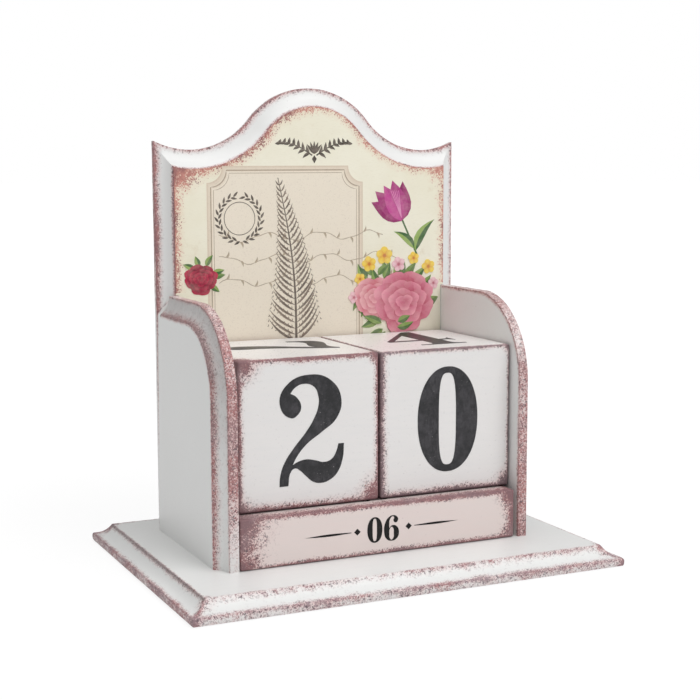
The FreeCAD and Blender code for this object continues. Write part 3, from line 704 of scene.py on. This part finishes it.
def base_board():
    """The moulded board, with countersunk holes for the screws in its underside."""
    lip = [(9.0, 0.0, 0.0), (3.0, 0.0, 0.0), (0.8, 0.0, 0.05), (0.25, 0.24, 0.2),
           (0.0, 0.8, 0.25), (0.0, 1.6, 0.15), (0.0, 2.5, 0.2), (0.08, 3.0, 0.3)]
    cove = [(d, BASE_LIP + cove_rise(d, BASE_COVE, BASE_COVE_DEPTH), sanding) for d, sanding in
            ((0.35, 0.3), (0.9, 0.15), (1.7, 0.0), (2.7, 0.0), (3.7, 0.0), (4.7, 0.0),
             (5.6, 0.0), (6.3, 0.05), (6.8, 0.12))]
    top = [(d, BASE_TOP, 0.12 if d < 7.5 else 0.0) for d in (7.15, 7.6, 8.3, 9.4, 11.5, 15.0)]
    rings = [base_ring(*ring) for ring in lip + cove + top]
    verts, faces = loft(rings)
    loops = [list(range(len(rings[0])))]
    panel_x, panel_y = (PANEL_IN + PANEL_OUT) / 2, (SIDE_FRONT + BACK_FRONT) / 2
    screws = [(panel_x, panel_y - SCREW_SPACING / 2), (panel_x, panel_y + SCREW_SPACING / 2),
              (BACK_SCREW_SPACING / 2, (BACK_FRONT + BACK_REAR) / 2)]
    for sign, (x, y) in product((-1, 1), screws):
        start = len(verts)
        hole_verts, hole_faces = loft([[(*point, z) for point in circle((sign * x, y), radius, 24)]
                                       for radius, z in SCREW_HOLE])
        loops.append(list(range(start, start + 24)))
        verts += hole_verts
        faces += [tuple(start + i for i in face) for face in hole_faces]
    mesh_piece("base_board_wood", verts, faces + pierced(verts, loops), BASE_PAINT, "stand",
               base_wear, base_grime, "base_board")


base_board()


# ---- side panels
# how far up from its foot the left panel's front strip is less rubbed
PALE_FOOT = 32.0
# the coves are rubbed a little more above this height
UPPER_Z = 60.0
# the left cove greys from the first of these heights up to the second
GREY_FROM, GREY_TO = 50.0, 80.0


def side_outline(inset):
    """(y, z, direction in) up the front edge, round the corner and back along the top."""
    near = (0.0, 1.0, 2.5, 5.0)
    points = [(SIDE_FRONT + inset, BASE_TOP + d, (1.0, 0.0))
              for d in along(CORNER_Z - BASE_TOP, 14, near)]
    for i in range(1, 25):
        turn = radians(90.0 * i / 24)
        inward = cos(turn), -sin(turn)
        points.append((CORNER_Y - (SIDE_ROUND - inset) * inward[0],
                       CORNER_Z - (SIDE_ROUND - inset) * inward[1], inward))
    return points + [(CORNER_Y + d, SIDE_TOP - inset, (0.0, -1.0))
                     for d in along(BACK_FRONT - CORNER_Y, 7, near)[1:]]


def side_profile():
    """(inset, x, sanding) from the inner face, over the edge, through the cove and out."""
    inner = [(d, PANEL_IN, 0.0) for d in (12.0, 7.0, 4.0, 2.2, 1.1, 0.45)]
    edge = [(0.12, PANEL_IN + 0.12, 0.12), (0.0, PANEL_IN + 0.5, 0.12)]
    edge += [(0.0, PANEL_IN + d, 0.08) for d in (1.4, 2.4, 3.3)]
    edge += [(0.0, SIDE_STRIP - 0.1, 0.2)]
    cove = [(d, SIDE_STRIP + cove_rise(d, SIDE_COVE, SIDE_COVE_DEPTH), sanding)
            for d, sanding in ((0.5, 0.15), (1.2, 0.05), (2.2, 0.0), (3.4, 0.0), (4.6, 0.0),
                               (5.6, 0.0), (6.5, 0.0), (7.2, 0.05))]
    outer = [(d, PANEL_OUT, 0.12 if d < 8.0 else 0.0) for d in (7.7, 8.3, 9.2, 10.6, 13.0)]
    return inner + edge + cove + outer


def edge_inset(point):
    """How far a point is inside a side panel's front and top line."""
    if point.y < CORNER_Y and point.z > CORNER_Z:
        return SIDE_ROUND - hypot(point.y - CORNER_Y, point.z - CORNER_Z)
    return min(point.y - SIDE_FRONT, SIDE_TOP - point.z)


def side_wear(point):
    x, inset, left = abs(point.x), max(0.0, edge_inset(point)), point.x < 0.0
    if x < PANEL_IN + 0.05 or (x <= SIDE_STRIP and inset >= 0.3):
        return fade(inset, 0.9)
    if x <= SIDE_STRIP:
        strip = 0.42 if left else 0.15
        strip += 0.5 * exp(-abs(x - SIDE_STRIP) / 0.4)
        strip += 0.4 * exp(-abs(x - PANEL_IN) / 0.5)
        if left and point.z < BASE_TOP + PALE_FOOT and point.y < 0.0:
            strip -= 1.1 * (1.0 - (point.z - BASE_TOP) / PALE_FOOT) ** 0.6
        if point.z > CORNER_Z + 8.0:
            strip -= 0.3
        return strip - 2.0 * inset
    in_cove = inset < SIDE_COVE
    return max(fade(hypot(inset - SIDE_COVE, PANEL_OUT - x), 2.1 if in_cove else 0.8, 0.72),
               fade(hypot(inset, x - SIDE_STRIP), 0.8, 0.9),
               (-1.1 if point.z > UPPER_Z else -1.3) if in_cove else -4.0)


def left_cove_grey(point):
    """The left cove is greyer round its corner, and more so the higher it is."""
    if point.x > 0.0 or abs(point.x) < SIDE_STRIP or edge_inset(point) > SIDE_COVE + 0.5:
        return 0.0
    return 0.34 * min(1.0, max(0.0, (point.z - GREY_FROM) / (GREY_TO - GREY_FROM)))


def side_panel(side, sign, seed):
    rings = []
    for inset, x, sanding in side_profile():
        ring = []
        for y, z, inward in side_outline(inset):
            take = worn((x * sign, y, z), sanding, 6.0, seed)
            ring.append((sign * x, y + inward[0] * take, z + inward[1] * take))
        rings.append(ring)
    verts, faces, left, right = open_loft(rings)
    near, far = len(verts), len(verts) + 1
    verts += [(sign * x, BACK_FRONT, BASE_TOP) for x in (PANEL_IN, PANEL_OUT)]
    faces[-1] += (far,)
    faces += [(*range(right[0] + 1), near), (*left, far, near), (*right, far, near)]
    mesh_piece(f"{side}_panel_wood", verts, faces, BOARD_PAINT, "stand",
               side_wear, left_cove_grey, f"{side}_side_panel")


side_panel("left", -1, 11.0)
side_panel("right", 1, 12.0)


# ---- back panel
MIDDLE_Z = 120.0  # the board's outline is sanded in towards this height on its centre line


def back_outline(top_inset, side_inset, foot):
    """(x, z) up the left side from foot, over the bonnet top, and down the right side."""
    edge, steps = PANEL_OUT - side_inset, 20
    crown, shoulder = ARC - top_inset, ARC + top_inset
    join, start = asin(SHOULDER_X / 2 / ARC), asin((edge - SHOULDER_X) / shoulder)
    half = []
    for i in range(steps):
        turn = start - (join + start) * i / steps
        half.append((-SHOULDER_X - shoulder * sin(turn), SHOULDER_Z - shoulder * cos(turn)))
    for i in range(steps):
        turn = join * (1.0 - i / steps)
        half.append((-crown * sin(turn), CROWN_Z + crown * cos(turn)))
    rise = along(half[0][1] - foot, 9, (0.0, 1.0, 2.0, 4.0, 7.0))[:-1]
    left = [(-edge, foot + d) for d in rise] + half
    return left + [(0.0, CROWN_Z + crown)] + [(-x, z) for x, z in reversed(left)]


def panel_inset(x, z):
    """How far inside the back panel's top line, and inside its side, a point is."""
    x = abs(x)
    if z < CROWN_Z - 10.0:
        return inf, PANEL_OUT - x
    # on a line through the place where the arcs meet, wear turns from one arc's to the other's
    if x - SHOULDER_X / 2 > 0.55 * (z - (CROWN_Z + SHOULDER_Z) / 2):
        return hypot(x - SHOULDER_X, z - SHOULDER_Z) - ARC, PANEL_OUT - x
    return ARC - hypot(x, z - CROWN_Z), PANEL_OUT - x


def side_ledge(x):
    """Height of a side panel's top at this x, where the back panel's cove ends on it."""
    return SIDE_TOP - cove_inset(max(0.0, x - SIDE_STRIP), SIDE_COVE, SIDE_COVE_DEPTH)


def back_rings():
    """Rings from the middle of the rear face, over the edge and the cove, to the front, and
    how many of them are behind the cove."""
    rear = [(inset, BACK_REAR, 0.0) for inset in (16.0, 8.0, 4.0, 2.0, 0.9)]
    rear += [(0.3, BACK_REAR - 0.1, 0.22), (0.0, BACK_REAR - 0.6, 0.22), (0.0, BACK_EDGE + 1.6, 0.22)]
    rings = [(back_outline(inset, inset, BASE_TOP), y, sanding) for inset, y, sanding in rear]
    for rise in (0.0, 0.1, 0.4, 1.0, 1.8, 2.6, 3.4, 4.1, 4.6, BACK_COVE_DEPTH):
        side = cove_inset(rise, BACK_SIDE_COVE, BACK_COVE_DEPTH)
        rings.append((back_outline(cove_inset(rise, BACK_COVE, BACK_COVE_DEPTH), side,
                                   side_ledge(PANEL_OUT - side)),
                      BACK_EDGE - rise, 0.0 if 0.1 < rise < 4.6 else 0.22))
    for extra in (0.5, 1.2, 2.4, 5.0):
        rings.append((back_outline(BACK_COVE + extra, BACK_SIDE_COVE + extra, SIDE_TOP),
                      BACK_FRONT, 0.0))
    sanded = []
    for outline, y, sanding in rings:
        ring = []
        for x, z in outline:
            take = worn((x, y, z), sanding, 6.0, 21.0)
            inward = Vector((-x, MIDDLE_Z - z)).normalized() * take
            ring.append((x + inward.x, y + (0.3 * take if y <= BACK_EDGE else 0.0), z + inward.y))
        sanded.append(ring)
    return sanded, len(rear)


def back_wear(point):
    """The lines at the cove's two edges, and the tips. The left side is rubbed the most."""
    top, side = panel_inset(point.x, point.z)
    left, nearest = point.x < 0.0, min(top, side)
    if point.z < SIDE_TOP - 8.0:
        return fade(hypot(side, BACK_REAR - point.y), 0.8, 0.2)
    if point.y > BACK_EDGE - 0.05:
        return max(fade(hypot(nearest, BACK_REAR - point.y), 1.0, 0.8),
                   fade(hypot(nearest, point.y - BACK_EDGE), 2.2,
                        1.1 if side < top and left else 0.55))
    value = fade(hypot(PANEL_OUT - abs(point.x), point.z - TIP_Z), 2.0, 1.0)
    for inset, width, edge, line in ((top, BACK_COVE, 0.5, 0.3),
                                     (side, BACK_SIDE_COVE, 1.2 if left else 0.35,
                                      0.9 if left else -0.3)):
        if inset <= width + 4.0:
            value = max(value, fade(hypot(max(0.0, inset), point.y - BACK_EDGE), 1.4, edge),
                        fade(hypot(inset - width, point.y - BACK_FRONT), 0.9, line))
    return value


def back_panel():
    """The bonnet-topped board. Behind the side panels it is plain, down to the base."""
    rings, rear = back_rings()
    verts, faces, left, right = open_loft(rings)
    total, cove, plain = len(verts), len(rings) - 5, faces.pop()
    corners = []
    for sign, ends in ((-1, left), (1, right)):
        foot, ledge = total + len(corners), total + len(corners) + 1
        corners += [(sign * PANEL_OUT, BACK_FRONT, BASE_TOP),
                    (sign * PANEL_OUT, BACK_FRONT, side_ledge(PANEL_OUT))]
        faces += [(ends[rear - 1], ends[rear], ledge, foot), (*ends[rear:cove + 1], ledge)]
    left_foot, left_ledge, right_foot, right_ledge = range(total, total + 4)
    faces += [tuple(range(right[0] + 1)),
              (*left[:rear], left_foot, right_foot, *reversed(right[:rear])),
              (*plain, *reversed(right[cove:-1]), right_ledge, right_foot, left_foot,
               left_ledge, *left[cove:-1])]
    mesh_piece("back_panel_wood", verts + corners, faces, BOARD_PAINT, "stand",
               back_wear, None, "back_panel")


back_panel()


# ---- printed sheet
SHEET_STEP = SIDE_TOP + SHEET_MARGIN  # the sheet is wider above this height
RUB_Z = 166.0  # the height of the places, over the sheet's corners, that its rub spreads from


def sheet_wear(point):
    """The sheet's rim above the side panels, and its top corners."""
    if point.z < SHEET_STEP + SHEET_MARGIN:
        return -4.0
    top, side = panel_inset(point.x, point.z)
    top, side = top - BACK_COVE - SHEET_MARGIN, side - BACK_SIDE_COVE - SHEET_MARGIN
    inset, left = max(0.0, min(top, side)), point.x < 0.0
    wide, line = ((0.7, 1.6) if side < top else (0.8, 0.8)) if left else (0.45, 0.8)
    return max(fade(inset, 2.5, wide), fade(inset, 0.4, line),
               fade(hypot(SHEET_X - abs(point.x), point.z - RUB_Z), 4.0, 3.3 if left else 2.3))


def sheet():
    """The glued sheet: its outline follows the coves, and it is narrower between the panels."""
    insets = (0.0, 0.7, 1.5, 2.5, 3.6, 5.0, 7.0, 10.0)
    rings = [[(x, y, z) for x, z in back_outline(BACK_COVE + SHEET_MARGIN + inset,
                                                 PANEL_OUT - SHEET_X + inset, SHEET_STEP)]
             for inset, y in [(0.0, BACK_FRONT)] + [(inset, SHEET_Y) for inset in insets]]
    verts, faces, left, right = open_loft(rings)
    total = len(verts)
    # round the narrower part below the side panels' tops: front corners, then rear ones
    x, foot = PANEL_IN - SHEET_MARGIN, BASE_TOP + SHEET_MARGIN
    verts += [(x * sign, y, z) for y in (SHEET_Y, BACK_FRONT)
              for sign, z in ((1, SHEET_STEP), (1, foot), (-1, foot), (-1, SHEET_STEP))]
    front, rear = list(range(total, total + 4)), list(range(total + 4, total + 8))
    faces[-1] += (*reversed(right[1:-1]), *front, *left[1:-1])
    faces += [(*range(right[0] + 1), *rear), (right[0], right[1], front[0], rear[0]),
              (left[0], left[1], front[3], rear[3])]
    faces += [(front[i], front[i + 1], rear[i + 1], rear[i]) for i in range(3)]
    mesh_piece("printed_sheet", verts, faces, PAPER, "stand", sheet_wear, None,
               "decor_sheet", 30.0)


sheet()


# ---- the sheet's print
# A botanical print of this model's own. Places are (x, z) on the sheet. Each shape is a thin
# film, laid over the one before it.
FILM = 0.004
draw = random.Random(41)


class Print:
    """Gathers coloured shapes on the sheet into one mesh, each laid over the last."""

    def __init__(self, name, level):
        self.name, self.level = name, level
        self.verts, self.faces, self.inks = [], [], []

    def add(self, face, inks):
        self.faces.append(face)
        self.inks.append(dict(zip(face, inks)))

    def film(self, points, fronts):
        """A closed thin shape. Its front faces are given by number in points, each with the
        ink at its corners."""
        self.level += FILM
        front, back = len(self.verts), len(self.verts) + len(points)
        for y in (SHEET_Y - self.level, SHEET_Y + 0.05):
            self.verts += [(x, y, z) for x, z in points]
        rim = {}
        for face, inks in fronts:
            for start in (front, back):
                self.add([start + i for i in face], inks)
            for side in zip(face, face[1:] + face[:1]):
                rim[frozenset(side)] = None if frozenset(side) in rim else side
        for i, j in filter(None, rim.values()):
            self.add([front + i, front + j, back + j, back + i], [fronts[0][1][0]] * 4)

    def plain(self, rim, ink):
        self.film(rim, [(list(range(len(rim))), [ink] * len(rim))])

    def petal(self, rim, inks, centre, centre_ink):
        """A shape whose ink changes from its centre to its rim."""
        hub = len(rim)
        self.film(rim + [centre], [([hub, i, j], [centre_ink, inks[i], inks[j]])
                                   for i, j in zip(range(hub), [*range(1, hub), 0])])

    def line(self, points, widths, ink, closed=False):
        """A pen line along points, as wide as widths says at each."""
        left, right, count = [], [], len(points)
        for i, point in enumerate(points):
            before = points[i - 1] if closed or i else point
            after = points[(i + 1) % count] if closed or i < count - 1 else point
            across = (Vector(after) - Vector(before)).orthogonal().normalized() * widths[i] / 2
            left.append(tuple(Vector(point) + across))
            right.append(tuple(Vector(point) - across))
        self.film(left + right, [
            ([i, (i + 1) % count, count + (i + 1) % count, count + i], [ink] * 4)
            for i in range(count if closed else count - 1)])

    def leaf(self, base, angle, length, width, light, dark, bend=0.0, steps=6):
        """A pointed leaf with one light and one dark half."""
        across = Vector((-sin(angle), cos(angle)))
        spine, sides = [], {1: [], -1: []}
        for i in range(steps + 1):
            t = i / steps
            at = Vector(polar(base, length * t, angle + bend * (t - 0.5)))
            spine.append(tuple(at))
            if 0 < i < steps:
                half = width / 2 * sin(pi * t ** 0.8)
                for sign, side in sides.items():
                    side.append(tuple(at + across * sign * half))
        self.film(spine + sides[1] + sides[-1], [
            ([*range(steps + 1), *range(last, last - steps + 1, -1)], [ink] * 2 * steps)
            for ink, last in ((light, 2 * steps - 1), (dark, 3 * steps - 2))])

    def make(self):
        mesh = mesh_piece(self.name, self.verts, self.faces, PRINT, "stand",
                          smooth_angle=30.0).data
        layer = mesh.color_attributes.new("ink", "FLOAT_COLOR", "CORNER")
        for polygon, inks in zip(mesh.polygons, self.inks):
            for loop in polygon.loop_indices:
                layer.data[loop].color = inks[mesh.loops[loop].vertex_index]


GREY, TAUPE, PEN = srgb(104, 94, 86), srgb(148, 132, 118), srgb(72, 66, 60)
LEAF_LIGHT, LEAF_DARK = srgb(150, 178, 96), srgb(62, 104, 58)
MAGENTA_DEEP, MAGENTA = srgb(140, 30, 96), srgb(206, 84, 158)


def label_motif():
    """A beige label with hollow corners and a thin double border."""
    label = Print("print_label", 0.0)

    def outline(inset):
        left, right, low, high = -49.0 + inset, 23.0 - inset, 60.0 + inset, 162.0 - inset
        return [polar(corner, 7.0, radians(first + 90.0 * i / 8)) for corner, first in
                (((left, low), 0), ((left, high), -90), ((right, high), 180),
                 ((right, low), 90)) for i in range(9)]

    for inset, tone in ((0.0, 0.0), (0.5, 0.35), (1.2, 0.65), (2.4, 1.0)):
        label.plain(outline(inset), blended(srgb(222, 206, 186), srgb(241, 231, 214), tone))
    for inset, width in ((1.8, 0.5), (3.0, 0.25)):
        label.line(outline(inset), [width] * 36, srgb(176, 158, 138), closed=True)
    label.make()


def frond_motif():
    """A tall fern in grey-brown engraver's line, wide at its foot and fine at its tip."""
    frond = Print("print_frond", 0.06)

    def stem(t):
        sway = Vector((2.6 * sin(pi * t), 0.0))
        return Vector((-9.0, 84.0)).lerp(Vector((-17.0, 157.0)), t) + sway

    pairs = 27
    for i in range(pairs):
        t = 0.04 + 0.95 * i / pairs
        length = 15.5 * (1.0 - t) ** 0.8 + 1.6
        for sign in (-1, 1):
            angle = radians(96.0 + sign * (58.0 - 16.0 * t) + draw.uniform(-3, 3))
            tone = blended(TAUPE, GREY, draw.random())
            frond.level = 0.06 + 0.002 * sign
            frond.leaf(stem(t), angle, length, 0.5 + 0.035 * length, tone,
                       blended(tone, GREY, 0.6), -sign * 0.35)
            ribs = int(length / 1.9)
            for k in range(1, ribs):
                for turn in (-0.8, 0.8):
                    frond.level = 0.075 + 0.002 * turn
                    frond.leaf(polar(stem(t), length * k / ribs, angle), angle + turn,
                               1.3 * (1.0 - 0.5 * k / ribs), 0.4, tone, TAUPE, steps=3)
    frond.level = 0.10
    frond.line([tuple(stem(i / 30)) for i in range(31)],
               [1.1 * (1.0 - 0.75 * i / 30) for i in range(31)], GREY)
    for sign in (-1, 1):
        frond.level = 0.10
        frond.line([(-9.0 + sign * 0.5 * i, 84.0 + 0.9 * i) for i in range(8)], [0.5] * 8, TAUPE)
    frond.make()


def rose(group, centre, radius, deep, light):
    """An open rose: rings of round petals, dark in their folds and pale at their lips."""
    for ring, (reach, count, size) in enumerate(((0.62, 8, 0.52), (0.42, 7, 0.42),
                                                 (0.24, 5, 0.32), (0.09, 3, 0.22))):
        start = draw.uniform(0.0, tau)
        for k in range(count):
            turn = start + tau * k / count + draw.uniform(-0.15, 0.15)
            hub = (centre[0] + radius * reach * cos(turn),
                   centre[1] + radius * reach * sin(turn) * 0.94)
            rim, inks = [], []
            lobe = radius * size * draw.uniform(0.9, 1.08)
            for i in range(18):
                around = tau * i / 18
                wave = 1.0 + 0.09 * sin(2 * around + turn) + 0.05 * sin(5 * around)
                rim.append((hub[0] + lobe * wave * cos(around),
                            hub[1] + lobe * wave * 0.86 * sin(around)))
                out = dist(rim[-1], centre) / radius
                share = min(1.0, max(0.0, (out - reach - size + 0.50) / 0.50))
                inks.append(blended(deep, light, share ** 1.5 * draw.uniform(0.82, 1.0)))
            middle = blended(deep, light, 0.12 + 0.08 * ring + draw.uniform(-0.1, 0.15))
            group.petal(rim, inks, hub, middle)


def small_flower(group, centre, radius, petal, eye):
    start = draw.uniform(0.0, tau)
    for k in range(5):
        turn = start + tau * k / 5
        hub = polar(centre, 0.58 * radius, turn)
        inks = [blended(petal, eye, 0.35 * (1 - cos(tau * i / 10))) for i in range(10)]
        group.petal(circle(hub, 0.46 * radius, 10, turn), inks, hub, petal)
    group.petal(circle(centre, 0.24 * radius, 8), [eye] * 8, centre, blended(eye, GREY, 0.3))


def leaves_round(group, centre, reach, count, first, last, size):
    for k in range(count):
        turn = radians(first + (last - first) * (k + 0.5) / count + draw.uniform(-9, 9))
        tone = draw.random()
        group.leaf(polar(centre, reach, turn), turn + draw.uniform(-0.5, 0.5),
                   size * draw.uniform(0.8, 1.2), size * 0.42,
                   blended(LEAF_LIGHT, LEAF_DARK, 0.5 * tone),
                   blended(LEAF_DARK, LEAF_LIGHT, 0.3 * tone), draw.uniform(-0.5, 0.5))


def rose_motif():
    """The bouquet low on the right, and a small crimson bloom low on the left."""
    group = Print("print_roses", 0.11)
    leaves_round(group, (40.4, 101.0), 11.0, 15, -20.0, 215.0, 9.0)
    leaves_round(group, (29.0, 108.0), 6.0, 9, 40.0, 260.0, 7.5)
    for x, z, size in ((26.0, 119.0, 3.4), (33.5, 122.5, 3.9), (55.5, 117.0, 3.2),
                       (21.5, 112.5, 2.6), (48.0, 121.0, 2.7)):
        small_flower(group, (x, z), size, srgb(250, 218, 92), srgb(222, 138, 48))
    for x, z, size in ((40.5, 118.5, 3.2), (18.5, 104.5, 2.6), (58.0, 109.5, 2.6)):
        small_flower(group, (x, z), size, srgb(246, 206, 214), srgb(206, 110, 132))
    rose(group, (28.5, 104.0), 9.0, srgb(202, 72, 100), srgb(250, 198, 204))
    rose(group, (43.2, 101.5), 13.5, srgb(184, 40, 86), srgb(246, 170, 188))
    leaves_round(group, (36.0, 92.0), 4.0, 7, 160.0, 380.0, 8.0)
    group.make()
    bloom = Print("print_bloom", 0.11)
    leaves_round(bloom, (-51.0, 116.0), 4.5, 6, -60.0, 160.0, 6.0)
    rose(bloom, (-52.0, 115.0), 6.4, srgb(96, 14, 38), srgb(206, 50, 86))
    bloom.make()


def tulip_motif():
    """A magenta tulip, leaning, high on the right."""
    tulip = Print("print_tulip", 0.03)
    tulip.line([(50.0 - 0.9 * i, 122.0 + 1.9 * i) for i in range(10)], [0.8] * 10, LEAF_DARK)
    tulip.leaf((49.0, 124.0), radians(70.0), 17.0, 4.6, LEAF_LIGHT, LEAF_DARK, -0.5)
    tulip.leaf((48.5, 125.0), radians(128.0), 13.0, 3.8, LEAF_LIGHT, LEAF_DARK, 0.5)
    for turn, length, width, share in ((146.0, 17.0, 8.0, 0.1), (84.0, 17.5, 8.0, 0.0),
                                       (130.0, 18.5, 9.0, 0.35), (100.0, 18.5, 9.0, 0.5),
                                       (115.0, 18.0, 8.4, 0.9)):
        tulip.leaf((42.0, 137.5), radians(turn), length, width,
                   blended(MAGENTA_DEEP, MAGENTA, share),
                   blended(MAGENTA_DEEP, MAGENTA, 0.25 + 0.5 * share), 0.15)
    for k in range(5):
        tulip.line([(42.0 + (k - 2) * 0.12 * i - 0.42 * i, 139.0 + 1.5 * i) for i in range(9)],
                   [0.3] * 9, blended(MAGENTA, srgb(244, 180, 220), 0.5))
    tulip.make()


def spray(scroll):
    """Leafy stems to both sides of a bud, under the crown."""
    for hand in (-1, 1):
        stem = [(hand * (1.0 + 1.15 * i), 166.4 + 3.4 * sin(0.21 * i) + 0.02 * i * i)
                for i in range(15)]
        scroll.level = 0.05
        scroll.line(stem, [0.6 - 0.025 * i for i in range(15)], PEN)
        for i in range(1, 15, 2):
            for side in (-1, 1):
                scroll.level = 0.06 + 0.002 * side
                angle = radians(90.0 - hand * (74.0 - 3.0 * i)) + side * 0.62
                scroll.leaf(stem[i], angle, 4.0 - 0.14 * i, 1.35, PEN, GREY, side * 0.5)
    scroll.level = 0.06
    for turn in (50.0, 70.0, 90.0, 110.0, 130.0):
        scroll.leaf((0.0, 167.0), radians(turn), 5.4, 1.3, PEN, GREY)
    scroll.plain([(0.0, 163.0), (1.1, 164.9), (0.0, 166.4), (-1.1, 164.9)], PEN)


def wreath(scroll, centre, radius):
    """Two rows of leaves that run up both sides of a ring, and leave its top open."""
    for k in range(44):
        turn = tau * k / 44
        if abs(degrees(turn) - 90.0) < 12.0:
            continue
        upward = 1 if cos(turn) > 0.0 else -1
        scroll.level = 0.05
        scroll.leaf(polar(centre, radius, turn),
                    turn + upward * pi / 2 + (0.55 if k % 2 else -0.55),
                    3.0, 1.0, PEN, GREY)
    scroll.level = 0.05
    scroll.line(circle(centre, radius - 2.6, 40), [0.28] * 40, PEN, closed=True)


def tendril(scroll, row):
    """A pale wavy line across the label, with a leaf on each bend."""
    scroll.level = 0.04
    wave = [(-44.0 + 1.6 * i, 113.0 + 9.5 * row + 1.7 * sin(0.42 * i + row)
             + 0.35 * sin(1.1 * i + 2.0 * row)) for i in range(62)]
    wave = [point for point in wave if point[0] < 52.0 - 9.0 * row]
    scroll.line(wave, [0.22 + 0.14 * sin(0.9 * i) ** 2 for i in range(len(wave))], srgb(178, 162, 142))
    for i in range(2, len(wave) - 2, 4):
        scroll.level = 0.045
        up = 1 if i % 8 == 2 else -1
        scroll.leaf(wave[i], up * radians(42.0), 3.0, 1.0, srgb(176, 160, 138),
                    srgb(190, 176, 154), up * 0.8)


def scroll_motif():
    scroll = Print("print_scrolls", 0.05)
    spray(scroll)
    wreath(scroll, (-34.5, 140.0), 9.5)
    for row in range(3):
        tendril(scroll, row)
    scroll.make()


label_motif()
frond_motif()
rose_motif()
tulip_motif()
scroll_motif()


# ---- metal
for node in ("base_screws", "back_pins"):
    frame["nodes"][node].data.materials.clear()
    frame["nodes"][node].data.materials.append(ZINC)


# ---- floor, lamps and camera
WHITE_LIGHT = (1.0, 1.0, 1.0, 1.0)
FLOOR_Z = -0.0002  # in metres: just below the base


def floor_material():
    """Pale grey that takes the object's shadow, and glows to white where it is seen."""
    shade = Shade("studio_floor")
    shade.finish(shade.mix(shade.noise(60.0), srgb(238, 238, 238), srgb(242, 242, 242)), 0.7,
                 Specular_IOR_Level=0.2)
    path = shade.node("ShaderNodeLightPath").outputs
    seen = shade.math("MAXIMUM", path["Is Camera Ray"], path["Is Glossy Ray"])
    seen = shade.math("MAXIMUM", seen, path["Is Transmission Ray"])
    distance = shade.node("ShaderNodeVectorMath", {0: shade.place}, operation="LENGTH")
    share = shade.between(shade.step(distance.outputs["Value"], 0.12, 0.5), 0.8, 0.97)
    glow = shade.node("ShaderNodeEmission", {"Color": WHITE_LIGHT, "Strength": 1.07})
    mixer = shade.node("ShaderNodeMixShader", {
        0: shade.math("MULTIPLY", seen, share), 1: shade.surface.outputs[0], 2: glow.outputs[0]})
    shade.put(shade.tree.nodes["Material Output"], {"Surface": mixer.outputs[0]})
    return shade.material


def stage_floor():
    """A round floor, fine in the middle and wide enough to reach past the view."""
    verts, faces = loft([[(*point, FLOOR_Z) for point in circle((0.0, 0.0), radius, 64)]
                         for radius in (12.0, 4.0, 1.5, 0.6, 0.2)])
    mesh = bpy.data.meshes.new("studio_floor")
    mesh.from_pydata(verts, [], faces)
    mesh.materials.append(floor_material())
    linked("studio_floor", mesh)


def soft_lamp(name, place, size, watts):
    """A square lamp that faces the calendar."""
    data = bpy.data.lights.new(name, "AREA")
    data.shape, data.size, data.energy = "SQUARE", size, watts
    lamp = linked(name, data)
    lamp.location = place
    lamp.rotation_euler = (Vector((0, 0, 0.07)) - Vector(place)).to_track_quat("-Z", "Y").to_euler()


def surroundings():
    """A pale room: soft light from all round, and white where the camera sees it."""
    world = bpy.data.worlds.new("studio")
    bpy.context.scene.world = world
    nodes = Nodes(world)
    seen = nodes.node("ShaderNodeLightPath").outputs["Is Camera Ray"]
    room, white = nodes.tree.nodes["Background"], nodes.node("ShaderNodeBackground")
    for background, strength in ((room, 0.38), (white, 1.0)):
        nodes.put(background, {"Color": WHITE_LIGHT, "Strength": strength})
    mixer = nodes.node("ShaderNodeMixShader", {0: seen, 1: room.outputs[0], 2: white.outputs[0]})
    nodes.put(nodes.tree.nodes["World Output"], {"Surface": mixer.outputs[0]})


def photo_camera():
    """Where the photograph was taken from, found from the base's and the cubes' corners."""
    place = Vector((-0.2507, -0.5380, 0.1628))
    azimuth, pitch, roll = 0.4373, -0.1284, -0.0027
    focal_pixels, frame_pixels = 1443.0, 700.0
    data = bpy.data.cameras.new("photo_camera")
    data.sensor_width = 36.0
    data.lens = data.sensor_width * focal_pixels / frame_pixels
    data.clip_start, data.clip_end = 0.01, 50.0
    camera = linked("photo_camera", data)
    turn = (Matrix.Rotation(-azimuth, 4, "Z") @ Matrix.Rotation(pi / 2 + pitch, 4, "X")
            @ Matrix.Rotation(roll, 4, "Z"))
    camera.matrix_world = Matrix.Translation(place) @ turn
    bpy.context.scene.camera = camera


stage_floor()
soft_lamp("key_lamp", (0.55, -1.0, 1.35), 1.1, 13.9)
soft_lamp("top_lamp", (-0.25, -0.1, 1.5), 1.2, 7.6)
surroundings()
photo_camera()
bpy.context.scene.view_settings.view_transform = "Standard"
